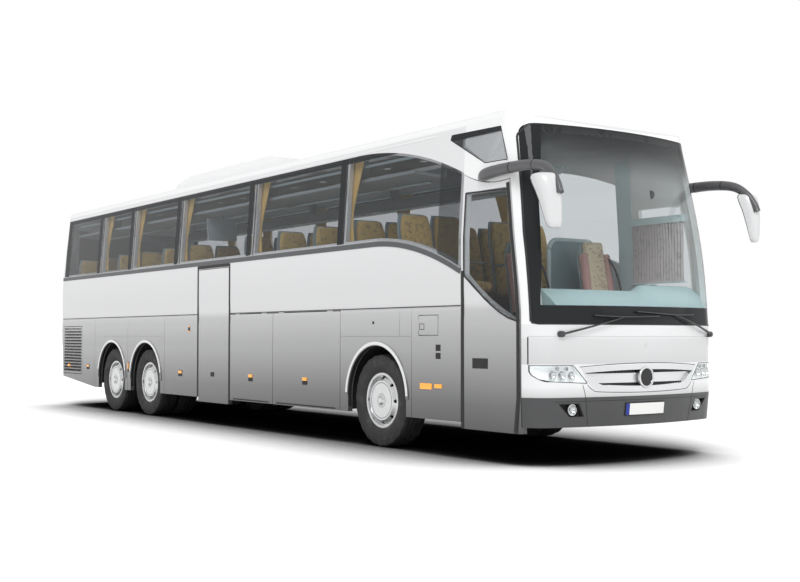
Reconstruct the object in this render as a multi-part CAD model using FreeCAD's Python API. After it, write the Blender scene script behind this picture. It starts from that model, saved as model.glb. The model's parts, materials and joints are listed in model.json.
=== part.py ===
"""Three-axle touring coach, 13 m long, built as separate pieces on their real joints.

Lengths are millimetres. +Z is up, the ground is z = 0, the nose faces -Y and the doors are on the
-X side. Places along the coach are stations: distances behind the front-most face of the body.
"""
import FreeCAD, Part
import math
import os
from FreeCAD import Vector

# Body outside
BODY_LENGTH = 12980.0
BODY_WIDTH = 2550.0
ROOF_TOP = 3425.0
BELT_Z = 2180.0
GLASS_FOOT_Z = 2250.0
GLASS_TOP_Z = 3240.0
CANT_Z = 3300.0
TUMBLE_IN = 74.0
ROOF_EDGE_IN = 110.0
ROOF_EDGE_RISE = 92.0
ROOF_EDGE_BOW_SHARES = (0.24, 0.66)
SKIRT_Z = 360.0
DOOR_FOOT_Z = 300.0
LOW_Z = 260.0
TAIL_SKIRT_Z = 540.0
SKIRT_RISE_S = 11090.0
MIRROR_REACH = 300.0

# Nose and tail
NOSE_BOW_R = 4000.0
NOSE_CORNER_R = 350.0
TAIL_BOW_R = 6000.0
TAIL_CORNER_R = 250.0
CREASE_Z = 638.0
SCREEN_FOOT_Z = 1317.0
SCREEN_LEAN = 300.0
SCREEN_LEAN_POWER = 1.5
NOSE_TUCK = 45.0
TAIL_TUCK = 90.0
TAIL_LEAN = 150.0
DOME_END_S = 1250.0
DOME_RUN = 990.0
DOME_RISE = 205.0
TAIL_DOME_RUN = 420.0
TAIL_DOME_RISE = 190.0
TAIL_DOME_S = 12870.0

# Shells, seams and gaps
WALL = 60.0
PANE = 8.0
GRILLE_DOOR_DEPTH = 40.0
SHUT_GAP = 10.0
PANE_GAP = 8.0
REBATE = 25.0
SEAM_DEPTH = 6.0
SEAM_WIDTH = 7.0
SPARE = 3.0
OVERRUN = 100.0
EASE = 0.3

# Stations of the side joints
PILLAR_S = 374.0
NOSE_JOINT_S = 1252.0
WINDOW_JOINTS_S = (3423.0, 5596.0, 7827.0, 9559.0, 10876.0)
WINDOW_END_S = 12600.0
TAIL_JOINT_S = 12660.0
WINDOW_POST = 45.0
FLAP_FRONT_S = 3468.0
FLAP_JOINT_S = 5037.0
MID_DOOR_FRONT_S = 6239.0
MID_DOOR_REAR_S = 7151.0
LOCKER_REAR_S = 8298.0
DOOR_POST = 45.0
DRIVE_SEAM_S = 9686.0
GRILLE_DOOR_FRONT_S = 11698.0
GRILLE_DOOR_REAR_S = 12600.0
SHORT_SEAM_S = 2297.0
LONG_SEAM_S = 2081.0
MID_LINE_Z = 1495.0
ARCH_LINE_Z = 1202.0
MID_DOOR_TOP_Z = 2128.0
GRILLE_DOOR_FOOT_Z = 560.0
GRILLE_DOOR_TOP_Z = 1371.0

# Side window and front door outlines, as (station, height)
FRONT_PANE_TOP_VIA = (2300.0, 3155.0)
FRONT_PANE_TOP_BACK_S = 3300.0
FRONT_PANE_TOP_FRONT_Z = 2830.0
FRONT_PANE_FOOT_VIA = (2000.0, 2150.0)
FRONT_PANE_FOOT_BACK_S = 2800.0
FRONT_PANE_FOOT_FRONT_Z = 1885.0
DOOR_TOP_FRONT_Z = 2696.0
DOOR_TOP_VIA = (950.0, 2708.0)
DOOR_TOP_REAR_Z = 2812.0
DOOR_GLASS_TOP_Z = 2620.0
DOOR_GLASS_FRONT_Z = 1338.0
DOOR_GLASS_VIA = (730.0, 1473.0)
DOOR_GLASS_REAR_Z = 1800.0
DOOR_GLASS_MARGIN = 42.0
DOOR_GLASS_REBATE = 22.0
QUARTER_GLASS = ((600.0, 2885.0), (930.0, 2888.0), (1500.0, 3190.0), (1480.0, 3236.0), (720.0, 3222.0))

# Windscreen
SCREEN_SIDE_MARGIN = 55.0
SCREEN_POST = 75.0
SCREEN_TOP_Z = 3225.0
SCREEN_CORNER_R = 90.0

# Wheels and axles
FRONT_AXLE_S = 2740.0
DRIVE_AXLE_S = 9000.0
TAG_AXLE_S = 10350.0
TYRE_R = 505.0
TYRE_WIDTH = 295.0
TYRE_INSET = 50.0
TWIN_GAP = 35.0
RIM_SEAT_R = 287.0
RIM_WALL = 11.0
RIM_FLANGE_R = 303.0
RIM_HALF_WIDTH = 116.0
RIM_FLANGE = 8.0
BEAD_HALF_WIDTH = 106.0
SIDEWALL_R = 400.0
SHOULDER_R = 488.0
SHOULDER_X = 138.0
TREAD_X = 104.0
COVER_R = 262.0
COVER_DISC_R = 215.0
COVER_PLATE = 10.0
HUB_R = 110.0
HUB_BORE_R = 35.05
SPINDLE_R = 35.0
HUB_CAP_R = 55.0
SLOT_COUNT = 8
SLOT_R = 20.0
SLOT_CIRCLE_R = 241.0
ARCH_R = 560.0
ARCH_CENTRE_Z = 545.0
ARCH_TRIM = 45.0
ARCH_TRIM_PROUD = 10.0
LINER_R = 620.0
LINER_WALL = 6.0
LINER_FOOT_Z = 480.0
LINER_INNER_X = 490.0
KINGPIN_X = 935.0
KINGPIN_R = 22.0
KINGPIN_CLEAR = 0.05
KINGPIN_BOSS_R = 48.0
KINGPIN_BOSS_H = 120.0
KNUCKLE_EAR = 30.0
KNUCKLE_EAR_R = 55.0
KNUCKLE_REACH = 75.0
BEAM_HALF_H = 45.0
BEAM_HALF_S = 40.0
AXLE_TUBE_R = 85.0
DIFFERENTIAL_R = 210.0
DIFFERENTIAL_BOW_R = 185.0
DIFFERENTIAL_HALF = 300.0
BRAKE_R = 200.0
BRAKE_WIDTH = 40.0
SPRING_ARM_RUN = 420.0
SPRING_ARM_HALF = 38.0
SPRING_ARM_FOOT_Z = 400.0
BELLOWS_R = 100.0
BELLOWS_S = 330.0

# Underframe and decks
RAIL_INNER_X = 410.0
RAIL_OUTER_X = 490.0
RAIL_FOOT_Z = 660.0
RAIL_TOP_Z = 840.0
BAY_FLOOR_Z = 380.0
BAY_FLOOR_TOP_Z = 430.0
BULKHEAD = 40.0
DECK_FOOT_Z = 1310.0
DECK_TOP_Z = 1350.0
DECK_CLEAR = 20.0
PLATFORM_TOP_Z = 950.0
PLATFORM_FOOT_Z = 910.0
PLATFORM_FRONT_S = 500.0
PLATFORM_REAR_S = 2080.0
PLATFORM_INNER_X = 430.0
DRIVER_SCREEN = (450.0, 1150.0, 1830.0, 1855.0, 2280.0)
DRIVER_SCREEN_CORNER = 120.0
SHELF_INNER_X = -250.0
STEP_COUNT = 3
STEP_TREAD = 255.0
TAIL_MEMBER_S = 12480.0
TOW_BORE_R = 20.0
TOW_BORE_S = 230.0
TOW_RAIL_FOOT_Z = 390.0
TOW_RAIL_TOP_Z = 560.0
TOW_FRONT_S = 170.0
ENGINE_FRONT_S = 11250.0
ENGINE_REAR_S = 12450.0
ENGINE_FOOT_Z = 520.0
ENGINE_TOP_Z = 1200.0

# Derived places
HALF = BODY_WIDTH / 2
FRONT_Y = (MIRROR_REACH - BODY_LENGTH) / 2
GAP = SHUT_GAP / 2
WHEEL_X = HALF - TYRE_INSET - TYRE_WIDTH / 2
TWIN_X = WHEEL_X - TYRE_WIDTH - TWIN_GAP
INNER_X = HALF - WALL


def station(distance):
    """y of a place that lies this far behind the front-most face."""
    return FRONT_Y + distance


def yz_at(x):
    """Placer for outlines of (station, height) points at one x."""
    return lambda s, z: Vector(x, station(s), z)


def xz_at(s):
    """Placer for outlines of (x, height) points at one station."""
    return lambda x, z: Vector(x, station(s), z)


def xy_at(z):
    """Placer for plan outlines of (x, station) points at one height."""
    return lambda x, s: Vector(x, station(s), z)


def outline(place, steps):
    """Closed wire: a point ends a straight edge, a (via, end) pair of points ends an arc."""
    edges = []
    here = steps[0]
    for step in list(steps[1:]) + [steps[0]]:
        if isinstance(step[0], tuple):
            via, end = step
            edges.append(Part.Arc(place(*here), place(*via), place(*end)).toShape())
        else:
            end = step
            if end != here:
                edges.append(Part.makeLine(place(*here), place(*end)))
        here = end
    return Part.Wire(edges)


def side_prism(steps, x_from, x_to):
    """Outline of (station, height) points pushed along X."""
    face = Part.Face(outline(yz_at(x_from), steps))
    return face.extrude(Vector(x_to - x_from, 0, 0))


def front_prism(steps, s_from, s_to):
    """Outline of (x, height) points pushed rearwards."""
    face = Part.Face(outline(xz_at(s_from), steps))
    return face.extrude(Vector(0, s_to - s_from, 0))


def plan_prism(steps, z_from, z_to):
    """Outline of (x, station) points pushed upwards."""
    face = Part.Face(outline(xy_at(z_from), steps))
    return face.extrude(Vector(0, 0, z_to - z_from))


def box(x_from, x_to, s_from, s_to, z_from, z_to):
    """Plain block between two x, two stations and two heights."""
    return Part.makeBox(x_to - x_from, s_to - s_from, z_to - z_from, Vector(x_from, station(s_from), z_from))


def rod_x(x_from, x_to, s, z, radius):
    """Round bar along X."""
    return Part.makeCylinder(radius, x_to - x_from, Vector(x_from, station(s), z), Vector(1, 0, 0))


def rod_y(s_from, s_to, x, z, radius):
    """Round bar along Y."""
    return Part.makeCylinder(radius, s_to - s_from, Vector(x, station(s_from), z), Vector(0, 1, 0))


def rod_z(z_from, z_to, x, s, radius):
    """Round bar along Z."""
    return Part.makeCylinder(radius, z_to - z_from, Vector(x, station(s), z_from), Vector(0, 0, 1))


def mirrored(shape):
    """The same shape on the other side of the coach."""
    return shape.mirror(Vector(0, 0, 0), Vector(1, 0, 0))


def joined(shapes):
    """One solid from touching or crossing solids."""
    first, *rest = shapes
    return first.fuse(rest).removeSplitter() if rest else first


def keep(node, *solids):
    """Write one node; solids that don't touch share it."""
    shape = solids[0] if len(solids) == 1 else Part.makeCompound(list(solids))
    shape.exportStep("parts/" + node + ".step")


def half_width(z):
    """Half the body's width at one height: upright to the belt, then leaning in."""
    lean = max(0, z - BELT_Z) * TUMBLE_IN / (GLASS_TOP_Z - BELT_Z)
    return HALF - lean


def nose_lean(z):
    """How far the nose stands back from the front-most face at one height."""
    if z < CREASE_Z:
        return NOSE_TUCK * (CREASE_Z - z) / (CREASE_Z - LOW_Z)
    rise = max(0, z - SCREEN_FOOT_Z) / (SCREEN_TOP_Z - SCREEN_FOOT_Z)
    return SCREEN_LEAN * rise ** SCREEN_LEAN_POWER


def tail_lean(z):
    """How far the tail stands forward of the rear-most face at one height."""
    if z < SCREEN_FOOT_Z:
        return TAIL_TUCK * (SCREEN_FOOT_Z - z) / (SCREEN_FOOT_Z - LOW_Z)
    rise = (z - SCREEN_FOOT_Z) / (SCREEN_TOP_Z - SCREEN_FOOT_Z)
    return TAIL_LEAN * rise * rise


def bowed_end(half, bow_r, corner_r):
    """Half of a bowed end, as (x, depth) points: where the bow meets the corner, its middle and end."""
    reach = half - corner_r
    drop = bow_r - math.sqrt((bow_r - corner_r) ** 2 - reach ** 2)
    turn = math.atan2(drop - bow_r, reach)
    join = (reach + corner_r * math.cos(turn), drop + corner_r * math.sin(turn))
    via = (reach + corner_r * math.cos(turn / 2), drop + corner_r * math.sin(turn / 2))
    return join, via, (half, drop)


def plan_wire(z, inset):
    """Plan of the body at one height, moved inwards by the inset."""
    half = half_width(z) + SPARE - inset
    nose = nose_lean(z) + inset
    tail = BODY_LENGTH - tail_lean(z) - inset
    (nx, nd), (nvx, nvd), (_, ne) = bowed_end(half, NOSE_BOW_R - inset, NOSE_CORNER_R - inset)
    (tx, td), (tvx, tvd), (_, te) = bowed_end(half, TAIL_BOW_R - inset, TAIL_CORNER_R - inset)
    return outline(xy_at(z), [
        (-half, nose + ne), ((-nvx, nose + nvd), (-nx, nose + nd)), ((0, nose), (nx, nose + nd)),
        ((nvx, nose + nvd), (half, nose + ne)), (half, tail - te), ((tvx, tail - tvd), (tx, tail - td)),
        ((0, tail), (-tx, tail - td)), ((-tvx, tail - tvd), (-half, tail - te))])


def plan_lofts(inset, low):
    """Nose and tail surfaces: flat-sided below the windscreen, curved above it."""
    lower = Part.makeLoft([plan_wire(z, inset) for z in (low, CREASE_Z, SCREEN_FOOT_Z)], True, True)
    rise = (ROOF_TOP + OVERRUN - SCREEN_FOOT_Z) / 5
    heights = [SCREEN_FOOT_Z + rise * step for step in range(6)]
    upper = Part.makeLoft([plan_wire(z, inset) for z in heights], True, False)
    return lower.fuse(upper)


def section_prism(inset, low):
    """Cross-section of the body: upright sides, leaning glass, round roof edges and a crowned roof."""
    half = HALF - inset
    shoulder = half_width(CANT_Z) - inset
    edge_x = shoulder - ROOF_EDGE_IN
    rise = ROOF_EDGE_RISE - inset
    bow_in, bow_up = ROOF_EDGE_BOW_SHARES
    via = (shoulder - bow_in * ROOF_EDGE_IN, CANT_Z + bow_up * rise)
    edge = (edge_x, CANT_Z + rise)
    return front_prism([
        (-half, low), (-half, BELT_Z), (-shoulder, CANT_Z), ((-via[0], via[1]), (-edge[0], edge[1])),
        ((0, ROOF_TOP - inset), edge), (via, (shoulder, CANT_Z)), (half, BELT_Z), (half, low)],
        -OVERRUN, BODY_LENGTH + OVERRUN)


def falling_arc(end_s, top, run, rise, sign):
    """Arc that leaves the roof level at end_s and falls by rise over run, forwards for sign -1."""
    radius = (run * run + rise * rise) / (2 * rise)
    turn = math.asin(run / radius)
    via = (end_s + sign * radius * math.sin(turn / 2), top - radius + radius * math.cos(turn / 2))
    return via, (end_s + sign * run, top - rise)


def profile_prism(inset, low):
    """Side view of the body: domed nose and tail of the roof."""
    top = ROOF_TOP + SPARE - inset
    roof_end = TAIL_DOME_S - TAIL_DOME_RUN
    nose_via, nose_end = falling_arc(DOME_END_S, top, DOME_RUN - inset, DOME_RISE, -1)
    tail_via, tail_end = falling_arc(roof_end, top, TAIL_DOME_RUN - inset, TAIL_DOME_RISE, 1)
    front = -OVERRUN
    back = BODY_LENGTH + OVERRUN
    return side_prism([
        (front, low), (front, nose_end[1]), nose_end, (nose_via, (DOME_END_S, top)), (roof_end, top),
        (tail_via, tail_end), (back, tail_end[1]), (back, low)], -BODY_WIDTH, BODY_WIDTH)


def body_form(inset, low):
    """The whole outer form of the body, moved inwards by the inset."""
    return section_prism(inset, low).common(plan_lofts(inset, low)).common(profile_prism(inset, low))


OUTER = body_form(0, LOW_Z)
HOLLOW = body_form(WALL, LOW_Z - OVERRUN)
SKIN = OUTER.cut(body_form(PANE, LOW_Z - OVERRUN))
SHELL = OUTER.cut(HOLLOW)


def pillar_step(foot_z, top_z, offset):
    """Arc up the corner pillar's rear edge, parallel to the leaning windscreen."""
    mid_z = (foot_z + top_z) / 2
    edge_s = PILLAR_S + offset
    return (edge_s + nose_lean(mid_z), mid_z), (edge_s + nose_lean(top_z), top_z)


def right_prism(steps):
    """Region of the right wall within an outline of (station, height) points."""
    return side_prism(steps, -HALF - OVERRUN, -HALF / 2)


def skirt_line():
    """Lower edge of the side from the tail to the nose."""
    slope = (TAIL_SKIRT_Z - SKIRT_Z) / (BODY_LENGTH - SKIRT_RISE_S)
    return [(TAIL_JOINT_S, SKIRT_Z + slope * (TAIL_JOINT_S - SKIRT_RISE_S)), (SKIRT_RISE_S, SKIRT_Z)]


def nose_joint_steps(drop, offset):
    """Door top line from the corner pillar to the rear door post."""
    via_s, via_z = DOOR_TOP_VIA
    front = (PILLAR_S + offset + nose_lean(DOOR_TOP_FRONT_Z - drop), DOOR_TOP_FRONT_Z - drop)
    return front, ((via_s, via_z - drop), (NOSE_JOINT_S - offset, DOOR_TOP_REAR_Z - drop))


def door_outline(shrink, foot_z):
    """Front door leaf outline, shrunk by a gap on all sides."""
    start, (via, end) = nose_joint_steps(shrink, shrink)
    return [(PILLAR_S + shrink, foot_z), (PILLAR_S + shrink, SCREEN_FOOT_Z),
            pillar_step(SCREEN_FOOT_Z, start[1], shrink), (via, end), (end[0], foot_z)]


def band_steps():
    """Whole window band behind the front door, as the panes fill it."""
    front = NOSE_JOINT_S + GAP
    return [(WINDOW_END_S, GLASS_FOOT_Z), (WINDOW_END_S, GLASS_TOP_Z), (FRONT_PANE_TOP_BACK_S, GLASS_TOP_Z),
            (FRONT_PANE_TOP_VIA, (front, FRONT_PANE_TOP_FRONT_Z)), (front, FRONT_PANE_FOOT_FRONT_Z),
            (FRONT_PANE_FOOT_VIA, (FRONT_PANE_FOOT_BACK_S, GLASS_FOOT_Z))]


def window_bays():
    """Stations between which each side pane lies."""
    edges = (NOSE_JOINT_S,) + WINDOW_JOINTS_S + (WINDOW_END_S,)
    return list(zip(edges[:-1], edges[1:]))


def band_opening():
    """Window band without its rebate, through which the passengers look out."""
    face = Part.Face(outline(yz_at(-HALF - OVERRUN), band_steps())).makeOffset2D(-REBATE)
    return face.extrude(Vector(HALF, 0, 0))


def window_openings():
    """One opening for each pane, between the posts."""
    band = band_opening()
    openings = []
    for front, back in window_bays():
        bay = box(-HALF - OVERRUN, 0, front + WINDOW_POST, back - WINDOW_POST, BELT_Z - BODY_WIDTH / 4, CANT_Z)
        openings.append(band.common(bay))
    return openings


def side_panes():
    """Panes of one side, flush with the body and a narrow gap apart."""
    band = SKIN.common(right_prism(band_steps()))
    panes = []
    for front, back in window_bays():
        start = front + (PANE_GAP / 2 if front != NOSE_JOINT_S else 0)
        stop = back - (PANE_GAP / 2 if back != WINDOW_END_S else 0)
        panes.append(band.common(box(-HALF - OVERRUN, 0, start, stop, SCREEN_FOOT_Z, CANT_Z)))
    return panes


def door_glass_steps(shrink):
    """Glass of the front door; the driver's window has the same outline."""
    margin = DOOR_GLASS_MARGIN + shrink
    front = PILLAR_S + margin
    rear = NOSE_JOINT_S - margin
    top = DOOR_GLASS_TOP_Z - shrink
    via_s, via_z = DOOR_GLASS_VIA
    return [(front, DOOR_GLASS_FRONT_Z + shrink), pillar_step(DOOR_GLASS_FRONT_Z + shrink, top, margin),
            (rear, top), (rear, DOOR_GLASS_REAR_Z + shrink),
            ((via_s, via_z + shrink), (front, DOOR_GLASS_FRONT_Z + shrink))]


def arch_cut(axle_s):
    """Wheel arch opening through the right wall."""
    x_from = -HALF - OVERRUN
    round_top = rod_x(x_from, -HALF / 2, axle_s, ARCH_CENTRE_Z, ARCH_R)
    return round_top.fuse(box(x_from, -HALF / 2, axle_s - ARCH_R, axle_s + ARCH_R, 0, ARCH_CENTRE_Z))


def seam(s_from, s_to, z_from, z_to):
    """Shallow joint line between two fixed panels of the right wall."""
    x_face = -HALF
    half = SEAM_WIDTH / 2
    return box(x_face - OVERRUN, x_face + SEAM_DEPTH, s_from - half, s_to + half, z_from - half, z_to + half)


def common_seams():
    """Joint lines that both sides have."""
    low = SKIRT_Z - OVERRUN
    return [
        seam(NOSE_JOINT_S, FLAP_FRONT_S - SHUT_GAP, MID_LINE_Z, MID_LINE_Z),
        seam(LOCKER_REAR_S, GRILLE_DOOR_REAR_S, MID_LINE_Z, MID_LINE_Z),
        seam(LONG_SEAM_S, LONG_SEAM_S, low, MID_LINE_Z), seam(SHORT_SEAM_S, SHORT_SEAM_S, ARCH_LINE_Z, MID_LINE_Z),
        seam(LONG_SEAM_S, FLAP_FRONT_S - SHUT_GAP, ARCH_LINE_Z, ARCH_LINE_Z),
        seam(LOCKER_REAR_S, SKIRT_RISE_S, ARCH_LINE_Z, ARCH_LINE_Z),
        seam(LOCKER_REAR_S, LOCKER_REAR_S, low, MID_LINE_Z),
        seam(DRIVE_SEAM_S, DRIVE_SEAM_S, low, MID_LINE_Z), seam(SKIRT_RISE_S, SKIRT_RISE_S, low, MID_LINE_Z)]


def flap_bays(right):
    """Stations of the luggage flaps' gaps on one side."""
    if right:
        return [(FLAP_FRONT_S, FLAP_JOINT_S), (FLAP_JOINT_S, MID_DOOR_FRONT_S - DOOR_POST)]
    middle = (FLAP_JOINT_S + LOCKER_REAR_S) / 2
    return [(FLAP_FRONT_S, FLAP_JOINT_S), (FLAP_JOINT_S, middle), (middle, LOCKER_REAR_S)]


def wall_region():
    """Right wall behind the front door, from the skirt to the cant rail."""
    front = NOSE_JOINT_S + GAP
    return right_prism(skirt_line() + [(front, SKIRT_Z), (front, CANT_Z), (TAIL_JOINT_S, CANT_Z)])


def wall_base(right):
    """Right wall with its windows, arches, seams and flap openings cut."""
    wall = SHELL.common(wall_region())
    cuts = [SKIN.common(right_prism(band_steps())), SKIN.common(right_prism(QUARTER_GLASS))] + window_openings()
    cuts += [arch_cut(axle_s) for axle_s in (FRONT_AXLE_S, DRIVE_AXLE_S, TAG_AXLE_S)]
    cuts += common_seams()
    cuts.append(box(-HALF - OVERRUN, -HALF / 2, GRILLE_DOOR_FRONT_S - GAP, GRILLE_DOOR_REAR_S + GAP,
                    GRILLE_DOOR_FOOT_Z - GAP, GRILLE_DOOR_TOP_Z + GAP))
    bays = flap_bays(right)
    cuts.append(box(-HALF - OVERRUN, -HALF / 2, bays[0][0] - GAP, bays[-1][1] + GAP, 0, MID_LINE_Z + GAP))
    wall = wall.cut(cuts)
    hinges = [fixed_hinge(frame) for front, back in bays for frame in flap_hinges(front, back)]
    hinges += [fixed_hinge(frame) for frame in grille_hinges()]
    return joined([wall] + hinges + [arch_trim(axle_s) for axle_s in (FRONT_AXLE_S, DRIVE_AXLE_S, TAG_AXLE_S)])


def mid_door_cut():
    """Opening for the middle door."""
    return box(-HALF - OVERRUN, -HALF / 2, MID_DOOR_FRONT_S - GAP, MID_DOOR_REAR_S + GAP, 0,
               MID_DOOR_TOP_Z + GAP)


# Filler flap
FILLER_FRONT_S = 1626.0
FILLER_REAR_S = 1958.0
FILLER_FOOT_Z = 1214.0
FILLER_TOP_Z = 1420.0
FILLER_THICK = 18.0
FILLER_POCKET = 30.0


def filler_pocket():
    """Recess in the right wall behind the filler flap."""
    return box(-HALF - OVERRUN, -HALF + FILLER_POCKET, FILLER_FRONT_S - GAP, FILLER_REAR_S + GAP,
               FILLER_FOOT_Z - GAP, FILLER_TOP_Z + GAP)


def filler_flap():
    """Small lid over the filler neck, hinged at its rear edge."""
    lid = box(-HALF, -HALF + FILLER_THICK, FILLER_FRONT_S + GAP, FILLER_REAR_S - GAP,
              FILLER_FOOT_Z + GAP, FILLER_TOP_Z - GAP)
    return joined([lid, moving_hinge(filler_hinge())])


def side_wall_right():
    """Door-side wall."""
    locker_seams = [seam(MID_DOOR_REAR_S, LOCKER_REAR_S, MID_LINE_Z, MID_LINE_Z)]
    wall = wall_base(True).cut([mid_door_cut(), filler_pocket()] + locker_seams)
    return joined([wall, fixed_hinge(filler_hinge())])


def driver_wall():
    """Wall beside the driver, with its window, in the front door's place."""
    panel = SHELL.common(right_prism(door_outline(-GAP, SKIRT_Z)))
    opening = right_prism(door_glass_steps(DOOR_GLASS_REBATE))
    return panel.cut([opening, SKIN.common(right_prism(door_glass_steps(0)))])


def side_wall_left():
    """Road-side wall with the driver's window."""
    wall = wall_base(False)
    return mirrored(joined([wall, driver_wall()]))


def roof_shell():
    """Roof between the nose cap and the tail."""
    front = NOSE_JOINT_S + GAP
    return SHELL.common(box(-BODY_WIDTH, BODY_WIDTH, front, TAIL_JOINT_S, CANT_Z, ROOF_TOP + OVERRUN))


def screen_steps(shrink):
    """Windscreen outline seen from the front, with round upper corners."""
    foot = half_width(SCREEN_FOOT_Z) - SCREEN_SIDE_MARGIN - shrink
    top = half_width(SCREEN_TOP_Z) - SCREEN_SIDE_MARGIN - shrink
    low_z = SCREEN_FOOT_Z + SPARE + shrink
    top_z = SCREEN_TOP_Z - shrink
    ease = SCREEN_CORNER_R * (1 - math.sqrt(0.5))
    right = (top - ease, top_z - ease)
    return [(-foot, low_z), (-foot, BELT_Z), (-top, top_z - SCREEN_CORNER_R),
            ((-right[0], right[1]), (-top + SCREEN_CORNER_R, top_z)), (top - SCREEN_CORNER_R, top_z),
            (right, (top, top_z - SCREEN_CORNER_R)), (foot, BELT_Z), (foot, low_z)]


def screen_depth():
    """Station behind which the windscreen no longer reaches."""
    return DOME_END_S - SCREEN_POST


def nose_cap():
    """Surround of the windscreen: corner pillars, header and the roof's nose."""
    front = -OVERRUN
    rear = NOSE_JOINT_S + GAP
    start, (via, end) = nose_joint_steps(-GAP, -GAP)
    region = side_prism([
        (front, SCREEN_FOOT_Z), (PILLAR_S - GAP, SCREEN_FOOT_Z), pillar_step(SCREEN_FOOT_Z, start[1], -GAP),
        (via, (rear, end[1])), (rear, ROOF_TOP + OVERRUN), (front, ROOF_TOP + OVERRUN)],
        -BODY_WIDTH, BODY_WIDTH)
    cap = SHELL.common(region)
    glass = front_prism(screen_steps(0), -OVERRUN, screen_depth())
    opening = front_prism(screen_steps(SCREEN_POST), -OVERRUN, screen_depth())
    cap = cap.cut([opening, SKIN.common(glass)])
    quarter = SKIN.common(right_prism(QUARTER_GLASS))
    return cap.cut([quarter, mirrored(quarter)])


def windscreen():
    """One-piece wrapped windscreen."""
    return SKIN.common(front_prism(screen_steps(0), -OVERRUN, screen_depth()))


# Nose panels, lamps and grille, as (x, height) seen from the front
LAMP_TOP_Z = 938.0
LAMP_OUTER_X = 1236.0
LAMP_INNER_TOP_X = 872.0
LAMP_INNER_FOOT = (712.0, 763.0)
LAMP_FOOT_OUTER = (1150.0, 790.0)
LAMP_OUTER_Z = 880.0
LAMP_DEPTH = 60.0
GRILLE_TOP_X = 790.0
GRILLE_SIDE_Z = 910.0
GRILLE_TOP_Z = 936.0
GRILLE_FOOT_Z = 684.0
GRILLE_CORNER = (530.0, 700.0)
GRILLE_CORNER_VIA = (644.0, 718.0)
GRILLE_SIDE_FOOT = (708.0, 772.0)
GRILLE_BORDER = 48.0
GRILLE_BAR_COUNT = 1
GRILLE_BAR_SHARE = 0.58
FOG_INNER_X = 736.0
FOG_OUTER_X = 1018.0
FOG_FOOT_Z = 455.0
FOG_TOP_Z = 582.0


def nose_region(foot_z, top_z):
    """Everything ahead of the side joints between two heights."""
    return box(-BODY_WIDTH, BODY_WIDTH, -OVERRUN, PILLAR_S - GAP, foot_z, top_z)


def lamp_steps():
    """Right headlamp seen from the front."""
    outer = -LAMP_OUTER_X
    return [(outer, LAMP_TOP_Z), (-LAMP_INNER_TOP_X, LAMP_TOP_Z), (-LAMP_INNER_FOOT[0], LAMP_INNER_FOOT[1]),
            (-LAMP_FOOT_OUTER[0] + LAMP_DEPTH, LAMP_FOOT_OUTER[1] - SEAM_WIDTH),
            ((-LAMP_FOOT_OUTER[0] - LAMP_DEPTH / 2, LAMP_FOOT_OUTER[1] + LAMP_DEPTH / 4), (outer, LAMP_OUTER_Z))]


def grille_steps(shrink):
    """Radiator grille seen from the front, its lower corners rounded."""
    (corner_x, corner_z), (via_x, via_z), (side_x, side_z) = (
        (x - shrink, z + shrink) for x, z in (GRILLE_CORNER, GRILLE_CORNER_VIA, GRILLE_SIDE_FOOT))
    top_x, top_z = GRILLE_TOP_X - shrink, GRILLE_SIDE_Z - shrink
    return [(-top_x, top_z), ((0, GRILLE_TOP_Z - shrink), (top_x, top_z)), (side_x, side_z),
            ((via_x, via_z), (corner_x, corner_z)), ((0, GRILLE_FOOT_Z + shrink), (-corner_x, corner_z)),
            ((-via_x, via_z), (-side_x, side_z))]


def nose_cut(steps):
    """Region of the nose within an outline of (x, height) points."""
    return front_prism(steps, -OVERRUN, PILLAR_S - GAP)


def front_panel():
    """Panel between the windscreen and the lamps, with the service flap's joint line."""
    panel = SHELL.common(nose_region(LAMP_TOP_Z, SCREEN_FOOT_Z))
    rim = OUTER.cut(body_form(SEAM_DEPTH, LOW_Z - OVERRUN))
    half = SEAM_WIDTH / 2
    across = rim.common(box(-LAMP_OUTER_X, LAMP_OUTER_X, -OVERRUN, PILLAR_S, ARCH_LINE_Z - half, ARCH_LINE_Z + half))
    return panel.cut([nose_cut(grille_steps(0)), across])


def front_bumper():
    """Painted upper bumper band with the lamp and grille openings."""
    band = SHELL.common(nose_region(CREASE_Z, LAMP_TOP_Z))
    lamp = nose_cut(lamp_steps())
    return band.cut([lamp, mirrored(lamp), nose_cut(grille_steps(0))])


def fog_steps():
    """Right fog lamp recess seen from the front."""
    return [(-FOG_OUTER_X, FOG_TOP_Z), (-FOG_INNER_X - (FOG_TOP_Z - FOG_FOOT_Z) / 2, FOG_TOP_Z),
            (-FOG_INNER_X, FOG_FOOT_Z), (-FOG_OUTER_X + (FOG_TOP_Z - FOG_FOOT_Z), FOG_FOOT_Z)]


def front_skirt():
    """Dark lower bumper with the fog lamp openings."""
    skirt = SHELL.common(nose_region(SKIRT_Z, CREASE_Z))
    fog = nose_cut(fog_steps())
    return skirt.cut([fog, mirrored(fog)])


def headlamps():
    """Both headlamps, each the full depth of the nose."""
    lamp = SHELL.common(nose_cut(lamp_steps()))
    return lamp, mirrored(lamp)


def fog_lamps():
    """Both fog lamps."""
    lamp = SHELL.common(nose_cut(fog_steps()))
    return lamp, mirrored(lamp)


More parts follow.
